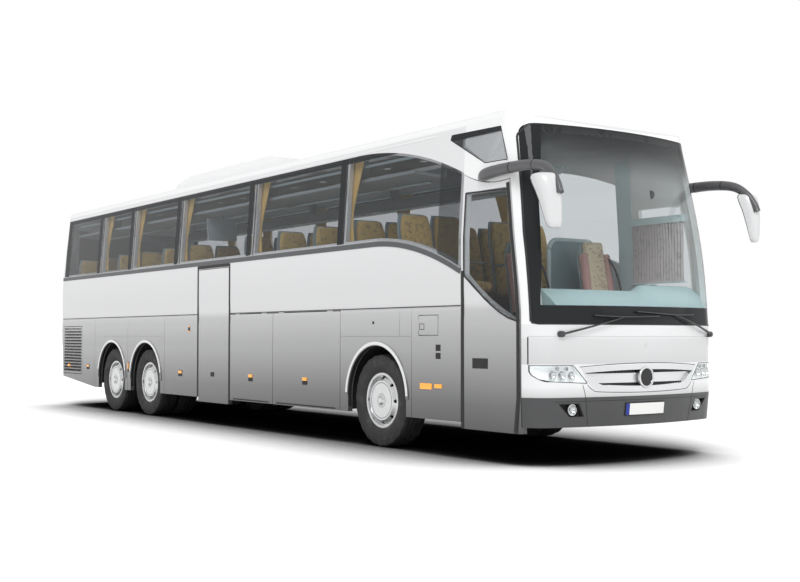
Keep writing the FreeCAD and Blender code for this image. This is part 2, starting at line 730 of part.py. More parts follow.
def front_grille():
    """Bright surround with its bars."""
    surround = SHELL.common(nose_cut(grille_steps(0)))
    opening = nose_cut(grille_steps(GRILLE_BORDER))
    frame = surround.cut(opening)
    bars = []
    clear = GRILLE_TOP_Z - GRILLE_FOOT_Z - 2 * GRILLE_BORDER
    pitch = clear / GRILLE_BAR_COUNT
    half = pitch * GRILLE_BAR_SHARE / 2
    depth = body_form(WALL / 2, LOW_Z).cut(HOLLOW)
    for number in range(GRILLE_BAR_COUNT):
        centre = GRILLE_FOOT_Z + GRILLE_BORDER + pitch * (number + 0.5)
        slab = box(-GRILLE_TOP_X, GRILLE_TOP_X, -OVERRUN, PILLAR_S, centre - half, centre + half)
        bars.append(depth.common(slab).common(nose_cut(grille_steps(GRILLE_BORDER / 2))))
    return joined([frame] + bars)


# Tail
TAIL_GLASS_HALF = 980.0
TAIL_GLASS_FOOT_Z = 2330.0
TAIL_GLASS_TOP_Z = 3120.0
TAIL_BUMPER_TOP_Z = 780.0
ENGINE_LID_HALF = 900.0
ENGINE_LID_TOP_Z = 1900.0
LID_FOOT_GAP = 16.0
TAIL_LAMP_INNER_X = 1010.0
TAIL_LAMP_OUTER_X = 1200.0
TAIL_LAMP_FOOT_Z = 900.0
TAIL_LAMP_TOP_Z = 1520.0


def tail_box(half, foot_z, top_z):
    """Region of the tail between two heights."""
    return box(-half, half, TAIL_JOINT_S, BODY_LENGTH + OVERRUN, foot_z, top_z)


def tail_lamp_boxes():
    """Regions of the two tail lamp columns."""
    region = box(-TAIL_LAMP_OUTER_X, -TAIL_LAMP_INNER_X, TAIL_JOINT_S, BODY_LENGTH + OVERRUN,
                 TAIL_LAMP_FOOT_Z, TAIL_LAMP_TOP_Z)
    return [region, mirrored(region)]


def tail_skirt_region(foot_z, top_z):
    """Tail zone above the rising skirt line."""
    slope = (TAIL_SKIRT_Z - SKIRT_Z) / (BODY_LENGTH - SKIRT_RISE_S)
    low = SKIRT_Z + slope * (TAIL_JOINT_S - SKIRT_RISE_S)
    back = BODY_LENGTH + OVERRUN
    zone = side_prism([(TAIL_JOINT_S, low), (BODY_LENGTH, TAIL_SKIRT_Z), (back, TAIL_SKIRT_Z),
                       (back, top_z), (TAIL_JOINT_S, top_z)], -BODY_WIDTH, BODY_WIDTH)
    return zone.common(box(-BODY_WIDTH, BODY_WIDTH, TAIL_JOINT_S, back, foot_z, top_z))


def rear_panel():
    """Tail of the body above the bumper, with openings for glass, lid and lamps."""
    tail = SHELL.common(tail_box(BODY_WIDTH, TAIL_BUMPER_TOP_Z, ROOF_TOP + OVERRUN))
    glass = SKIN.common(tail_box(TAIL_GLASS_HALF, TAIL_GLASS_FOOT_Z, TAIL_GLASS_TOP_Z))
    opening = tail_box(TAIL_GLASS_HALF - REBATE, TAIL_GLASS_FOOT_Z + REBATE, TAIL_GLASS_TOP_Z - REBATE)
    lid = tail_box(ENGINE_LID_HALF + GAP, LOW_Z, ENGINE_LID_TOP_Z + GAP)
    tail = tail.cut([glass, opening, lid] + tail_lamp_boxes())
    return joined([tail] + [fixed_hinge(frame) for frame in lid_hinges()])


def rear_glass():
    """Rear window."""
    return SKIN.common(tail_box(TAIL_GLASS_HALF, TAIL_GLASS_FOOT_Z, TAIL_GLASS_TOP_Z))


def rear_bumper():
    """Bumper below the engine lid."""
    return SHELL.common(tail_skirt_region(0, TAIL_BUMPER_TOP_Z))


def engine_lid():
    """Rear lid, hinged along its upper edge."""
    lid = SHELL.common(tail_box(ENGINE_LID_HALF - GAP, TAIL_BUMPER_TOP_Z + LID_FOOT_GAP, ENGINE_LID_TOP_Z - GAP))
    return joined([lid] + [moving_hinge(frame) for frame in lid_hinges()])


def tail_lamps():
    """Both tail lamp columns."""
    return [SHELL.common(region) for region in tail_lamp_boxes()]


# Hinges of the lids and flaps
HINGE_R = 4.5
HINGE_PIN_R = 2.0
HINGE_LENGTH = 60.0
HINGE_LEAF = 3.0
HINGE_LEAF_REACH = 9.0
HINGE_END_GAP = 0.5
HINGE_INSET = 220.0


def hinge_frame(place, inward, along, upward):
    """Placement of a hinge: its inward, pin and fixed-side directions at one place."""
    return FreeCAD.Placement(FreeCAD.Matrix(
        inward.x, along.x, upward.x, place.x, inward.y, along.y, upward.y, place.y,
        inward.z, along.z, upward.z, place.z, 0, 0, 0, 1))


def hinge_knuckle(length, start, reach):
    """One knuckle round the pin line with its leaf; reach is up for the fixed side, down for the lid."""
    barrel = Part.makeCylinder(HINGE_R, length, Vector(0, start, 0), Vector(0, 1, 0))
    foot = min(0, reach)
    leaf = Part.makeBox(HINGE_LEAF, length, abs(reach), Vector(0, start, foot))
    return barrel.fuse(leaf)


def fixed_hinge(frame):
    """Fixed half: two knuckles and the pin between them."""
    half = HINGE_LENGTH / 2
    left = hinge_knuckle(half, -2 * half - HINGE_END_GAP, HINGE_LEAF_REACH)
    right = hinge_knuckle(half, half + HINGE_END_GAP, HINGE_LEAF_REACH)
    pin = Part.makeCylinder(HINGE_PIN_R, 4 * half, Vector(0, -2 * half, 0), Vector(0, 1, 0))
    shape = joined([left, right, pin])
    shape.Placement = frame
    return shape


def moving_hinge(frame):
    """Moving half: the middle knuckle, bored for the pin."""
    half = HINGE_LENGTH / 2
    knuckle = hinge_knuckle(2 * half, -half, -HINGE_LEAF_REACH)
    bore = Part.makeCylinder(HINGE_PIN_R + KINGPIN_CLEAR, 4 * half, Vector(0, -2 * half, 0), Vector(0, 1, 0))
    shape = knuckle.cut(bore)
    shape.Placement = frame
    return shape


def flap_hinges(front, back):
    """Frames of a luggage flap's two hinges on the right side."""
    return [hinge_frame(Vector(-HALF, station(s), MID_LINE_Z), Vector(1, 0, 0), Vector(0, 1, 0), Vector(0, 0, 1))
            for s in (front + HINGE_INSET, back - HINGE_INSET)]


def filler_hinge():
    """Frame of the filler flap's hinge on its rear edge."""
    middle = (FILLER_FOOT_Z + FILLER_TOP_Z) / 2
    return hinge_frame(Vector(-HALF, station(FILLER_REAR_S), middle), Vector(1, 0, 0), Vector(0, 0, -1),
                       Vector(0, 1, 0))


def grille_hinges():
    """Frames of the side grille door's hinges on its front edge."""
    heights = (GRILLE_DOOR_FOOT_Z + HINGE_INSET, GRILLE_DOOR_TOP_Z - HINGE_INSET)
    return [hinge_frame(Vector(-HALF, station(GRILLE_DOOR_FRONT_S), z), Vector(1, 0, 0), Vector(0, 0, 1),
                        Vector(0, -1, 0)) for z in heights]


def lid_hinges():
    """Frames of the engine lid's hinges on its upper edge."""
    s = BODY_LENGTH - tail_lean(ENGINE_LID_TOP_Z) - HINGE_INSET ** 2 / (2 * TAIL_BOW_R)
    return [hinge_frame(Vector(x, station(s), ENGINE_LID_TOP_Z), Vector(0, -1, 0), Vector(1, 0, 0), Vector(0, 0, 1))
            for x in (-HINGE_INSET, HINGE_INSET)]


# Doors
ARM_LENGTH = 520.0
COLUMN_R = 22.0
COLUMN_IN = 130.0
COLUMN_BACK = 95.0
ARM_HALF = 20.0
FRONT_ARM_Z = 1080.0
COLUMN_TOP_Z = 1250.0
MID_COLUMN_TOP_Z = 1700.0
MID_ARM_Z = 1560.0
ARM_PIN_R = 12.0
ARM_EYE_R = 26.0
LEAF_LUG = 16.0


def front_door():
    """Front door leaf without its glass."""
    leaf = SHELL.common(right_prism(door_outline(GAP, DOOR_FOOT_Z)))
    opening = right_prism(door_glass_steps(DOOR_GLASS_REBATE))
    leaf = leaf.cut([opening, SKIN.common(right_prism(door_glass_steps(0)))])
    pin_s = PILLAR_S + COLUMN_BACK + ARM_LENGTH
    return joined([leaf, leaf_lug(pin_s, FRONT_ARM_Z)])


def front_door_glass():
    """Pane of the front door."""
    return SKIN.common(right_prism(door_glass_steps(0)))


def mid_door():
    """Middle door leaf."""
    leaf = SHELL.common(right_prism([
        (MID_DOOR_FRONT_S + GAP, DOOR_FOOT_Z), (MID_DOOR_REAR_S - GAP, DOOR_FOOT_Z),
        (MID_DOOR_REAR_S - GAP, MID_DOOR_TOP_Z - GAP), (MID_DOOR_FRONT_S + GAP, MID_DOOR_TOP_Z - GAP)]))
    pin_s = MID_DOOR_REAR_S - COLUMN_BACK - ARM_LENGTH
    return joined([leaf, leaf_lug(pin_s, MID_ARM_Z)])


def column_x():
    """x of the door columns."""
    return -HALF + COLUMN_IN


def leaf_lug(pin_s, arm_z):
    """Fork ears on the leaf and the pin that the arm's eye turns on."""
    x = column_x()
    ears = []
    for foot in (arm_z - ARM_HALF - EASE - LEAF_LUG, arm_z + ARM_HALF + EASE):
        plate = box(-INNER_X, x, pin_s - ARM_EYE_R, pin_s + ARM_EYE_R, foot, foot + LEAF_LUG)
        ears.append(plate.fuse(rod_z(foot, foot + LEAF_LUG, x, pin_s, ARM_EYE_R)))
    pin = rod_z(arm_z - ARM_HALF - EASE - LEAF_LUG, arm_z + ARM_HALF + EASE + LEAF_LUG, x, pin_s, ARM_PIN_R)
    return joined(ears + [pin])


def door_arm(column_s, pin_s, arm_z, foot_z, top_z):
    """Vertical column in its bearings and the arm that swings the leaf."""
    x = column_x()
    column = rod_z(foot_z, top_z, x, column_s, COLUMN_R)
    low, high = arm_z - ARM_HALF, arm_z + ARM_HALF
    bar = box(x - ARM_HALF / 2, x + ARM_HALF / 2, min(column_s, pin_s), max(column_s, pin_s), low, high)
    eye = rod_z(low, high, x, pin_s, ARM_EYE_R)
    boss = rod_z(low, high, x, column_s, COLUMN_R * 1.5)
    return joined([column, bar, eye, boss]).cut(rod_z(low, high, x, pin_s, ARM_PIN_R + KINGPIN_CLEAR))


def luggage_flap(front, back):
    """Right-hand luggage flap between two stations, hinged along its upper edge."""
    return SHELL.common(right_prism([(front + GAP, SKIRT_Z), (back - GAP, SKIRT_Z),
                                     (back - GAP, MID_LINE_Z - GAP), (front + GAP, MID_LINE_Z - GAP)]))


# Side grille doors
LOUVRE_COUNT = 15
LOUVRE_THICK = 10.0
GRILLE_DOOR_BORDER = 22.0


def side_grille_door():
    """Right-hand radiator door with its louvres, hinged at its front edge."""
    front, back = GRILLE_DOOR_FRONT_S + GAP, GRILLE_DOOR_REAR_S - GAP
    foot, top = GRILLE_DOOR_FOOT_Z + GAP, GRILLE_DOOR_TOP_Z - GAP
    x_out, x_in = -HALF, -HALF + GRILLE_DOOR_DEPTH
    border = GRILLE_DOOR_BORDER
    frame = box(x_out, x_in, front, back, foot, top)
    frame = frame.cut(box(x_out - OVERRUN, x_in + OVERRUN, front + border, back - border, foot + border, top - border))
    pitch = (top - foot - 2 * border) / LOUVRE_COUNT
    slats = []
    for number in range(LOUVRE_COUNT):
        low = foot + border + pitch * (number + 0.5)
        slats.append(front_prism([(x_out, low - pitch / 2), (x_in, low + pitch / 2 - LOUVRE_THICK),
                                  (x_in, low + pitch / 2), (x_out, low - pitch / 2 + LOUVRE_THICK)],
                                 front + border / 2, back - border / 2))
    return joined([frame] + slats + [moving_hinge(hinge) for hinge in grille_hinges()])


# Roof unit
ROOF_UNIT_FRONT_S = 4950.0
ROOF_UNIT_REAR_S = 8750.0
ROOF_UNIT_HALF = 900.0
ROOF_UNIT_TOP_Z = 3640.0
ROOF_UNIT_RAMP = 1100.0
ROOF_UNIT_BEVEL = 120.0


def roof_unit():
    """Low fairing of the air conditioning, seated on the crowned roof."""
    top, bevel = ROOF_UNIT_TOP_Z, ROOF_UNIT_BEVEL
    form = side_prism([
        (ROOF_UNIT_FRONT_S, CANT_Z), (ROOF_UNIT_FRONT_S, ROOF_TOP), (ROOF_UNIT_FRONT_S + ROOF_UNIT_RAMP, top),
        (ROOF_UNIT_REAR_S - bevel * 2, top), (ROOF_UNIT_REAR_S, ROOF_TOP + bevel / 2), (ROOF_UNIT_REAR_S, CANT_Z)],
        -ROOF_UNIT_HALF, ROOF_UNIT_HALF)
    section = front_prism([
        (-ROOF_UNIT_HALF, CANT_Z), (-ROOF_UNIT_HALF, top - bevel), (-ROOF_UNIT_HALF + bevel, top),
        (ROOF_UNIT_HALF - bevel, top), (ROOF_UNIT_HALF, top - bevel), (ROOF_UNIT_HALF, CANT_Z)],
        ROOF_UNIT_FRONT_S, ROOF_UNIT_REAR_S)
    return form.common(section).cut(section_prism(0, LOW_Z))


# Wheels
def tyre(centre_x, axle_s):
    """One tyre, turned about its axle."""
    bead = BEAD_HALF_WIDTH
    half = TYRE_WIDTH / 2
    steps = [(-bead, RIM_SEAT_R), (-bead, RIM_FLANGE_R + EASE), (-half, SIDEWALL_R), (-SHOULDER_X, SHOULDER_R),
             (-TREAD_X, TYRE_R), (TREAD_X, TYRE_R), (SHOULDER_X, SHOULDER_R), (half, SIDEWALL_R),
             (bead, RIM_FLANGE_R + EASE), (bead, RIM_SEAT_R)]
    return turned(steps, centre_x, axle_s)


def turned(steps, centre_x, axle_s):
    """Outline of (x, radius) points turned about the axle line."""
    wire = outline(lambda x, r: Vector(centre_x + x, station(axle_s), TYRE_R + r), steps)
    return Part.Face(wire).revolve(Vector(0, station(axle_s), TYRE_R), Vector(1, 0, 0), 360)


def rim_barrel(centre_x, axle_s):
    """Rim well with its two flanges."""
    half, seat, inner = RIM_HALF_WIDTH, RIM_SEAT_R, RIM_SEAT_R - RIM_WALL
    lip = half - RIM_FLANGE
    return turned([(-half, inner), (-half, RIM_FLANGE_R), (-lip, RIM_FLANGE_R), (-lip, seat), (lip, seat),
                   (lip, RIM_FLANGE_R), (half, RIM_FLANGE_R), (half, inner)], centre_x, axle_s)


def wheel_cover(centre_x, axle_s, bulge):
    """Bright cover: slotted ring round a flat disc with a small hub cap, facing -X."""
    face = -RIM_HALF_WIDTH + bulge
    plate = COVER_PLATE
    inner = RIM_SEAT_R - RIM_WALL
    ring_x = -RIM_HALF_WIDTH + 3 * plate
    steps = [(ring_x, inner), (ring_x, COVER_R), (face, COVER_DISC_R), (face, HUB_CAP_R),
             (face - 2 * plate, HUB_CAP_R / 2), (face - 2 * plate, 0), (face + plate, 0),
             (face + plate, COVER_DISC_R - plate), (ring_x + plate, COVER_R - plate), (ring_x + plate, inner)]
    cover = turned(steps, centre_x, axle_s)
    slots = []
    for number in range(SLOT_COUNT):
        turn = 2 * math.pi * number / SLOT_COUNT
        slots.append(rod_x(centre_x - TYRE_WIDTH, centre_x + face + 6 * plate, axle_s + SLOT_CIRCLE_R * math.cos(turn),
                           TYRE_R + SLOT_CIRCLE_R * math.sin(turn), SLOT_R))
    return cover.cut(slots)


def right_hub(x_from, x_to, axle_s):
    """Hub drum round the spindle, with a running clearance."""
    return rod_x(x_from, x_to, axle_s, TYRE_R, HUB_R)


def single_rim(axle_s):
    """Rim of a single wheel with its disc, hub and cover."""
    x = -WHEEL_X
    barrel = rim_barrel(x, axle_s)
    web_x = x - RIM_HALF_WIDTH / 2
    web = rod_x(web_x, web_x + 2 * COVER_PLATE, axle_s, TYRE_R, RIM_SEAT_R - RIM_WALL)
    cover = wheel_cover(x, axle_s, -COVER_PLATE)
    hub = right_hub(web_x, knuckle_back_x() - KNUCKLE_EAR - EASE, axle_s)
    bore = rod_x(web_x + 2 * COVER_PLATE, x + TYRE_WIDTH, axle_s, TYRE_R, HUB_BORE_R)
    return joined([barrel, web, cover, hub]).cut(bore)


def twin_rim(axle_s):
    """Rims of the twin drive wheels on one hub."""
    inner = rim_barrel(-TWIN_X, axle_s)
    outer = rim_barrel(-WHEEL_X, axle_s)
    web_x = -WHEEL_X - RIM_HALF_WIDTH / 2
    web = rod_x(web_x, web_x + 2 * COVER_PLATE, axle_s, TYRE_R, RIM_SEAT_R - RIM_WALL)
    inner_web = rod_x(-TWIN_X - RIM_HALF_WIDTH, -TWIN_X - RIM_HALF_WIDTH + 2 * COVER_PLATE, axle_s, TYRE_R,
                      RIM_SEAT_R - RIM_WALL)
    cover = wheel_cover(-WHEEL_X, axle_s, 0)
    hub = right_hub(web_x, -TWIN_X, axle_s)
    bore = rod_x(web_x + 2 * COVER_PLATE, -TWIN_X + TYRE_WIDTH, axle_s, TYRE_R, HUB_BORE_R)
    return joined([inner, outer, web, inner_web, cover, hub]).cut(bore)


def knuckle_back_x():
    """x where the knuckle's ears end and its upright web begins."""
    return -KINGPIN_X - KNUCKLE_REACH


def knuckle_right():
    """Steering knuckle: fork round the axle's boss, spindle, brake and steering arm."""
    x, s = -KINGPIN_X, FRONT_AXLE_S
    half_boss = KINGPIN_BOSS_H / 2 + EASE
    ears = []
    for foot in (TYRE_R - half_boss - KNUCKLE_EAR, TYRE_R + half_boss):
        ear = rod_z(foot, foot + KNUCKLE_EAR, x, s, KNUCKLE_EAR_R)
        ear = ear.fuse(box(knuckle_back_x(), x, s - KNUCKLE_EAR_R, s + KNUCKLE_EAR_R, foot, foot + KNUCKLE_EAR))
        ears.append(ear)
    back_x = knuckle_back_x()
    web = box(back_x - KNUCKLE_EAR, back_x, s - KNUCKLE_EAR_R, s + KNUCKLE_EAR_R,
              TYRE_R - half_boss - KNUCKLE_EAR, TYRE_R + half_boss + KNUCKLE_EAR)
    tip_x = -WHEEL_X - RIM_HALF_WIDTH / 2 + 2 * COVER_PLATE + EASE
    spindle = rod_x(tip_x, back_x, s, TYRE_R, SPINDLE_R)
    body = joined(ears + [web, spindle])
    return body.cut(rod_z(0, 2 * TYRE_R, x, s, KINGPIN_R + KINGPIN_CLEAR))


def kingpin(x):
    """Pin through the boss at one end of the front axle beam."""
    reach = KINGPIN_BOSS_H / 2 + EASE + KNUCKLE_EAR
    return rod_z(TYRE_R - reach, TYRE_R + reach, x, FRONT_AXLE_S, KINGPIN_R)


def spring_arms(axle_s):
    """Longitudinal carriers with their air bellows under the rails, right side."""
    x = -(RAIL_INNER_X + RAIL_OUTER_X) / 2
    foot, half = SPRING_ARM_FOOT_Z, SPRING_ARM_HALF
    arm = box(x - half, x + half, axle_s - SPRING_ARM_RUN, axle_s + SPRING_ARM_RUN, foot, foot + 2 * half)
    parts = [arm]
    for offset in (-BELLOWS_S, BELLOWS_S):
        parts.append(rod_z(foot + 2 * half, RAIL_FOOT_Z, x, axle_s + offset, BELLOWS_R))
    return joined(parts)


def front_axle():
    """Dropped beam with kingpins, hung on its air springs."""
    s = FRONT_AXLE_S
    x = KINGPIN_X
    boss = rod_z(TYRE_R - KINGPIN_BOSS_H / 2, TYRE_R + KINGPIN_BOSS_H / 2, -x, s, KINGPIN_BOSS_R)
    beam = box(-x, x, s - BEAM_HALF_S, s + BEAM_HALF_S, TYRE_R - BEAM_HALF_H, TYRE_R + BEAM_HALF_H)
    arms = spring_arms(s)
    return joined([beam, boss, mirrored(boss), kingpin(-x), kingpin(x), arms, mirrored(arms)])


def carrying_axle(axle_s, spindle_tip_x, differential):
    """Tube axle with spindles at both ends and its air springs."""
    tube_end = TWIN_X - TYRE_WIDTH / 2 - TWIN_GAP
    tube = rod_x(-tube_end, tube_end, axle_s, TYRE_R, AXLE_TUBE_R)
    spindle = rod_x(-spindle_tip_x, spindle_tip_x, axle_s, TYRE_R, SPINDLE_R)
    arms = spring_arms(axle_s)
    parts = [tube, spindle, arms, mirrored(arms)]
    if differential:
        run, bow = DIFFERENTIAL_HALF, DIFFERENTIAL_R
        steps = [(-run, 0), (-run, AXLE_TUBE_R / 2), ((-run / 2, DIFFERENTIAL_BOW_R), (0, bow)),
                 ((run / 2, DIFFERENTIAL_BOW_R), (run, AXLE_TUBE_R / 2)), (run, 0)]
        parts.append(turned(steps, 0, axle_s))
        parts.append(rod_y(axle_s, axle_s + 2 * bow, 0, TYRE_R, AXLE_TUBE_R))
    return joined(parts)


def arch_trim(axle_s):
    """Proud lip round one right wheel arch."""
    ring = rod_x(-HALF - ARCH_TRIM_PROUD, -HALF, axle_s, ARCH_CENTRE_Z, ARCH_R + ARCH_TRIM)
    ring = ring.cut(rod_x(-HALF - 2 * ARCH_TRIM_PROUD, 0, axle_s, ARCH_CENTRE_Z, ARCH_R))
    return ring.common(box(-BODY_WIDTH, 0, axle_s - LINER_R, axle_s + LINER_R, ARCH_CENTRE_Z, CANT_Z))


def wheel_liners():
    """Half-round liners over the wheels, from the walls to the rails."""
    liners = []
    for axle_s in (FRONT_AXLE_S, DRIVE_AXLE_S, TAG_AXLE_S):
        shell = rod_x(-INNER_X, -LINER_INNER_X, axle_s, TYRE_R, LINER_R)
        shell = shell.cut(rod_x(-HALF, 0, axle_s, TYRE_R, LINER_R - LINER_WALL))
        above = box(-HALF - OVERRUN, 0, axle_s - BODY_WIDTH, axle_s + BODY_WIDTH, TYRE_R, CANT_Z)
        liners.append(shell.common(above))
    return liners + [mirrored(liner) for liner in liners]


# Underframe
def mid_stair_s():
    """Front and rear station of the middle stairwell."""
    return MID_DOOR_FRONT_S + GAP, MID_DOOR_REAR_S - GAP


def tow_rails():
    """Towing rails of both sides, from behind the bumper to the front bulkhead."""
    back = NOSE_JOINT_S + BULKHEAD
    rail = box(RAIL_INNER_X, RAIL_OUTER_X, TOW_FRONT_S, back, TOW_RAIL_FOOT_Z, TOW_RAIL_TOP_Z)
    return [rail, mirrored(rail)]


def underframe():
    """Bay floor, bulkheads, rails over the axles and the towing rails, one welded frame."""
    liner = LINER_R
    front_a, front_b = FRONT_AXLE_S - liner, FRONT_AXLE_S + liner
    rear_a, rear_b = DRIVE_AXLE_S - liner, TAG_AXLE_S + liner
    wide = INNER_X
    pieces = [
        box(-wide, wide, NOSE_JOINT_S, front_a - BULKHEAD, BAY_FLOOR_Z, BAY_FLOOR_TOP_Z),
        box(-wide, wide, front_a - BULKHEAD, front_a, BAY_FLOOR_Z, DECK_FOOT_Z),
        box(-wide, wide, front_b, front_b + BULKHEAD, BAY_FLOOR_Z, DECK_FOOT_Z),
        box(-wide + DECK_CLEAR, wide - DECK_CLEAR, front_b, rear_a, BAY_FLOOR_Z, BAY_FLOOR_TOP_Z),
        box(-wide, wide, rear_a - BULKHEAD, rear_a, BAY_FLOOR_Z, DECK_FOOT_Z),
        box(-wide, wide, rear_b, rear_b + BULKHEAD, BAY_FLOOR_TOP_Z, DECK_FOOT_Z)]
    for sign in (-1, 1):
        inner, outer = sorted((sign * RAIL_INNER_X, sign * RAIL_OUTER_X))
        pieces.append(box(inner, outer, front_a, front_b, RAIL_FOOT_Z, RAIL_TOP_Z))
        pieces.append(box(inner, outer, rear_a, TAIL_MEMBER_S, RAIL_FOOT_Z, RAIL_TOP_Z))
    pieces.append(box(-RAIL_OUTER_X, RAIL_OUTER_X, TAIL_MEMBER_S - BULKHEAD, TAIL_MEMBER_S, RAIL_FOOT_Z, RAIL_TOP_Z))
    frame = joined(pieces + tow_rails())
    middle = (RAIL_INNER_X + RAIL_OUTER_X) / 2
    return frame.cut([rod_z(0, DECK_FOOT_Z, x, TOW_BORE_S, TOW_BORE_R) for x in (-middle, middle)])


def floor_deck():
    """Passenger deck over the bays, with the middle stairwell cut."""
    side = INNER_X - DECK_CLEAR
    deck = box(-side, side, PLATFORM_REAR_S, TAIL_MEMBER_S, DECK_FOOT_Z, DECK_TOP_Z)
    front, back = mid_stair_s()
    well = box(-BODY_WIDTH, -side + STEP_COUNT * STEP_TREAD, front, back, 0, CANT_Z)
    return deck.cut(well)


def stair(x_out, s_from, s_to, foot_z, top_z, count, tread):
    """Steps that climb inwards from the right door."""
    rise = (top_z - foot_z) / (count + 1)
    steps = []
    for number in range(count):
        x_from = x_out + tread * number
        steps.append(box(x_from, x_out + tread * count, s_from, s_to, foot_z, foot_z + rise * (number + 1)))
    return joined(steps)


def mid_stairs():
    """Steps behind the middle door, standing on the bay floor."""
    front, back = mid_stair_s()
    return stair(-INNER_X + DECK_CLEAR, front, back, BAY_FLOOR_TOP_Z, DECK_TOP_Z, STEP_COUNT, STEP_TREAD)


def driver_screen():
    """Upright panel behind the driver, its upper corners round."""
    inner, outer, front, rear, top = DRIVER_SCREEN
    corner = DRIVER_SCREEN_CORNER
    ease = corner * (1 - math.sqrt(0.5))
    steps = [(inner, PLATFORM_TOP_Z), (outer, PLATFORM_TOP_Z), (outer, top - corner),
             ((outer - ease, top - ease), (outer - corner, top)), (inner + corner, top),
             ((inner + ease, top - ease), (inner, top - corner))]
    return front_prism(steps, front, rear)


def front_platform():
    """Driver's platform with its screen, riser, entrance floor and entrance steps as one built-up piece."""
    side = INNER_X - DECK_CLEAR
    inner = -PLATFORM_INNER_X
    platform = box(inner, side, PLATFORM_FRONT_S, PLATFORM_REAR_S, PLATFORM_FOOT_Z, PLATFORM_TOP_Z)
    pan = box(-side, side, PAN_FRONT_S, NOSE_JOINT_S, BAY_FLOOR_Z, BAY_FLOOR_TOP_Z)
    leg = box(inner, inner + BULKHEAD, PLATFORM_FRONT_S, PLATFORM_REAR_S, BAY_FLOOR_TOP_Z, PLATFORM_FOOT_Z)
    front = NOSE_JOINT_S - BULKHEAD
    partition = box(-side, inner, front, NOSE_JOINT_S, BAY_FLOOR_TOP_Z, DECK_TOP_Z)
    shelf = box(-side, SHELF_INNER_X, front, PLATFORM_REAR_S, DECK_FOOT_Z, DECK_TOP_Z)
    riser = box(SHELF_INNER_X - BULKHEAD, SHELF_INNER_X, front, PLATFORM_REAR_S, PLATFORM_TOP_Z, DECK_FOOT_Z)
    steps = stair(-side + STEP_TREAD, PLATFORM_FRONT_S, NOSE_JOINT_S, BAY_FLOOR_TOP_Z, PLATFORM_TOP_Z, STEP_COUNT - 1,
                  STEP_TREAD)
    return joined([platform, pan, leg, partition, shelf, riser, steps, driver_screen()]).cut(tow_rails())


# Cabin fittings
PAN_FRONT_S = 430.0
DASH_PROFILE = ((420.0, 960.0), (300.0, 1060.0), (200.0, 1400.0), (200.0, 1480.0), (430.0, 1650.0),
                (550.0, 1665.0), (650.0, 1600.0), (690.0, 1430.0), (640.0, 960.0))
HOOD_PROFILE = ((300.0, 1500.0), (400.0, 1695.0), (480.0, 1730.0), (560.0, 1715.0), (640.0, 1500.0))
HOOD_INNER_X = 400.0
HOOD_OUTER_X = 1180.0
DASH_RIGHT_X = -960.0
DRIVER_X = 790.0
STEERING_S = 800.0
STEERING_Z = 1600.0
STEERING_TILT = 35.0
STEERING_WHEEL_R = 225.0
STEERING_RING_R = 15.0
RING_SIDES = 8
STEERING_HUB_R = 45.0
STEERING_HUB_H = 40.0
STEERING_SHAFT_R = 14.0
STEERING_SHAFT = 430.0
SPOKE_R = 9.0
SEAT_WIDTH = 425.0
SEAT_CUSHION_Z = 450.0
SEAT_CUSHION_THICK = 110.0
SEAT_CUSHION_RUN = 440.0
SEAT_BACK_TOP_Z = 1210.0
CREW_BACK_TOP_Z = 1320.0
SEAT_BACK_THICK = 85.0
SEAT_BACK_RAKE = 130.0
SEAT_PEDESTAL = 200.0
SEAT_SPLIT = 20.0
SEAT_AISLE_X = 265.0
SEAT_FIRST_S = 2835.0
SEAT_LEFT_FIRST_S = 2100.0
SEAT_PITCH = 885.0
SEAT_ROWS = 11
DRIVER_SEAT_S = 960.0
GUIDE_SEAT_X = 60.0
GUIDE_SEAT_S = 1330.0
RACK_FOOT_Z = 2960.0
RACK_INNER_X = 640.0
RACK_THICK = 35.0
RACK_LIP = 90.0
RACK_WALL_CLEAR = 80.0
RACK_FRONT_S = 2300.0
HANGER_WIDTH = 120.0
CURTAIN_THICK = 45.0
CURTAIN_TOP_Z = 3190.0
CURTAIN_FOOT_Z = 2290.0
CURTAIN_TIE_Z = 2600.0
CURTAIN_TOP_HALF = 220.0
CURTAIN_TIE_HALF = 60.0
CURTAIN_FOOT_HALF = 110.0


def seat_profile(front_s, floor_z, back_top_z):
    """Side view of one seat: cushion and raked back."""
    cushion_z = floor_z + SEAT_CUSHION_Z
    top_z = floor_z + back_top_z
    foot_z = cushion_z - SEAT_CUSHION_THICK
    nose = SEAT_CUSHION_THICK / 2
    back_s = front_s + SEAT_CUSHION_RUN
    top_s = back_s + SEAT_BACK_RAKE
    thick = SEAT_BACK_THICK
    return [(front_s + nose, foot_z), ((front_s, foot_z + nose), (front_s + nose, cushion_z)),
            (back_s - nose, cushion_z - nose / 2), (top_s - thick / 2, top_z - thick / 2),
            ((top_s, top_z), (top_s + thick / 2, top_z - thick / 2)), (back_s + thick, foot_z)]


def crew_seat(centre_x, front_s):
    """One tall seat on its pedestal on the driver's platform."""
    floor_z = PLATFORM_TOP_Z
    half = SEAT_WIDTH / 2
    body = side_prism(seat_profile(front_s, floor_z, CREW_BACK_TOP_Z), centre_x - half, centre_x + half)
    foot = SEAT_PEDESTAL / 2
    middle = front_s + SEAT_CUSHION_RUN / 2
    top = floor_z + SEAT_CUSHION_Z - SEAT_CUSHION_THICK
    return body.fuse(box(centre_x - foot, centre_x + foot, middle - foot, middle + foot, floor_z, top))


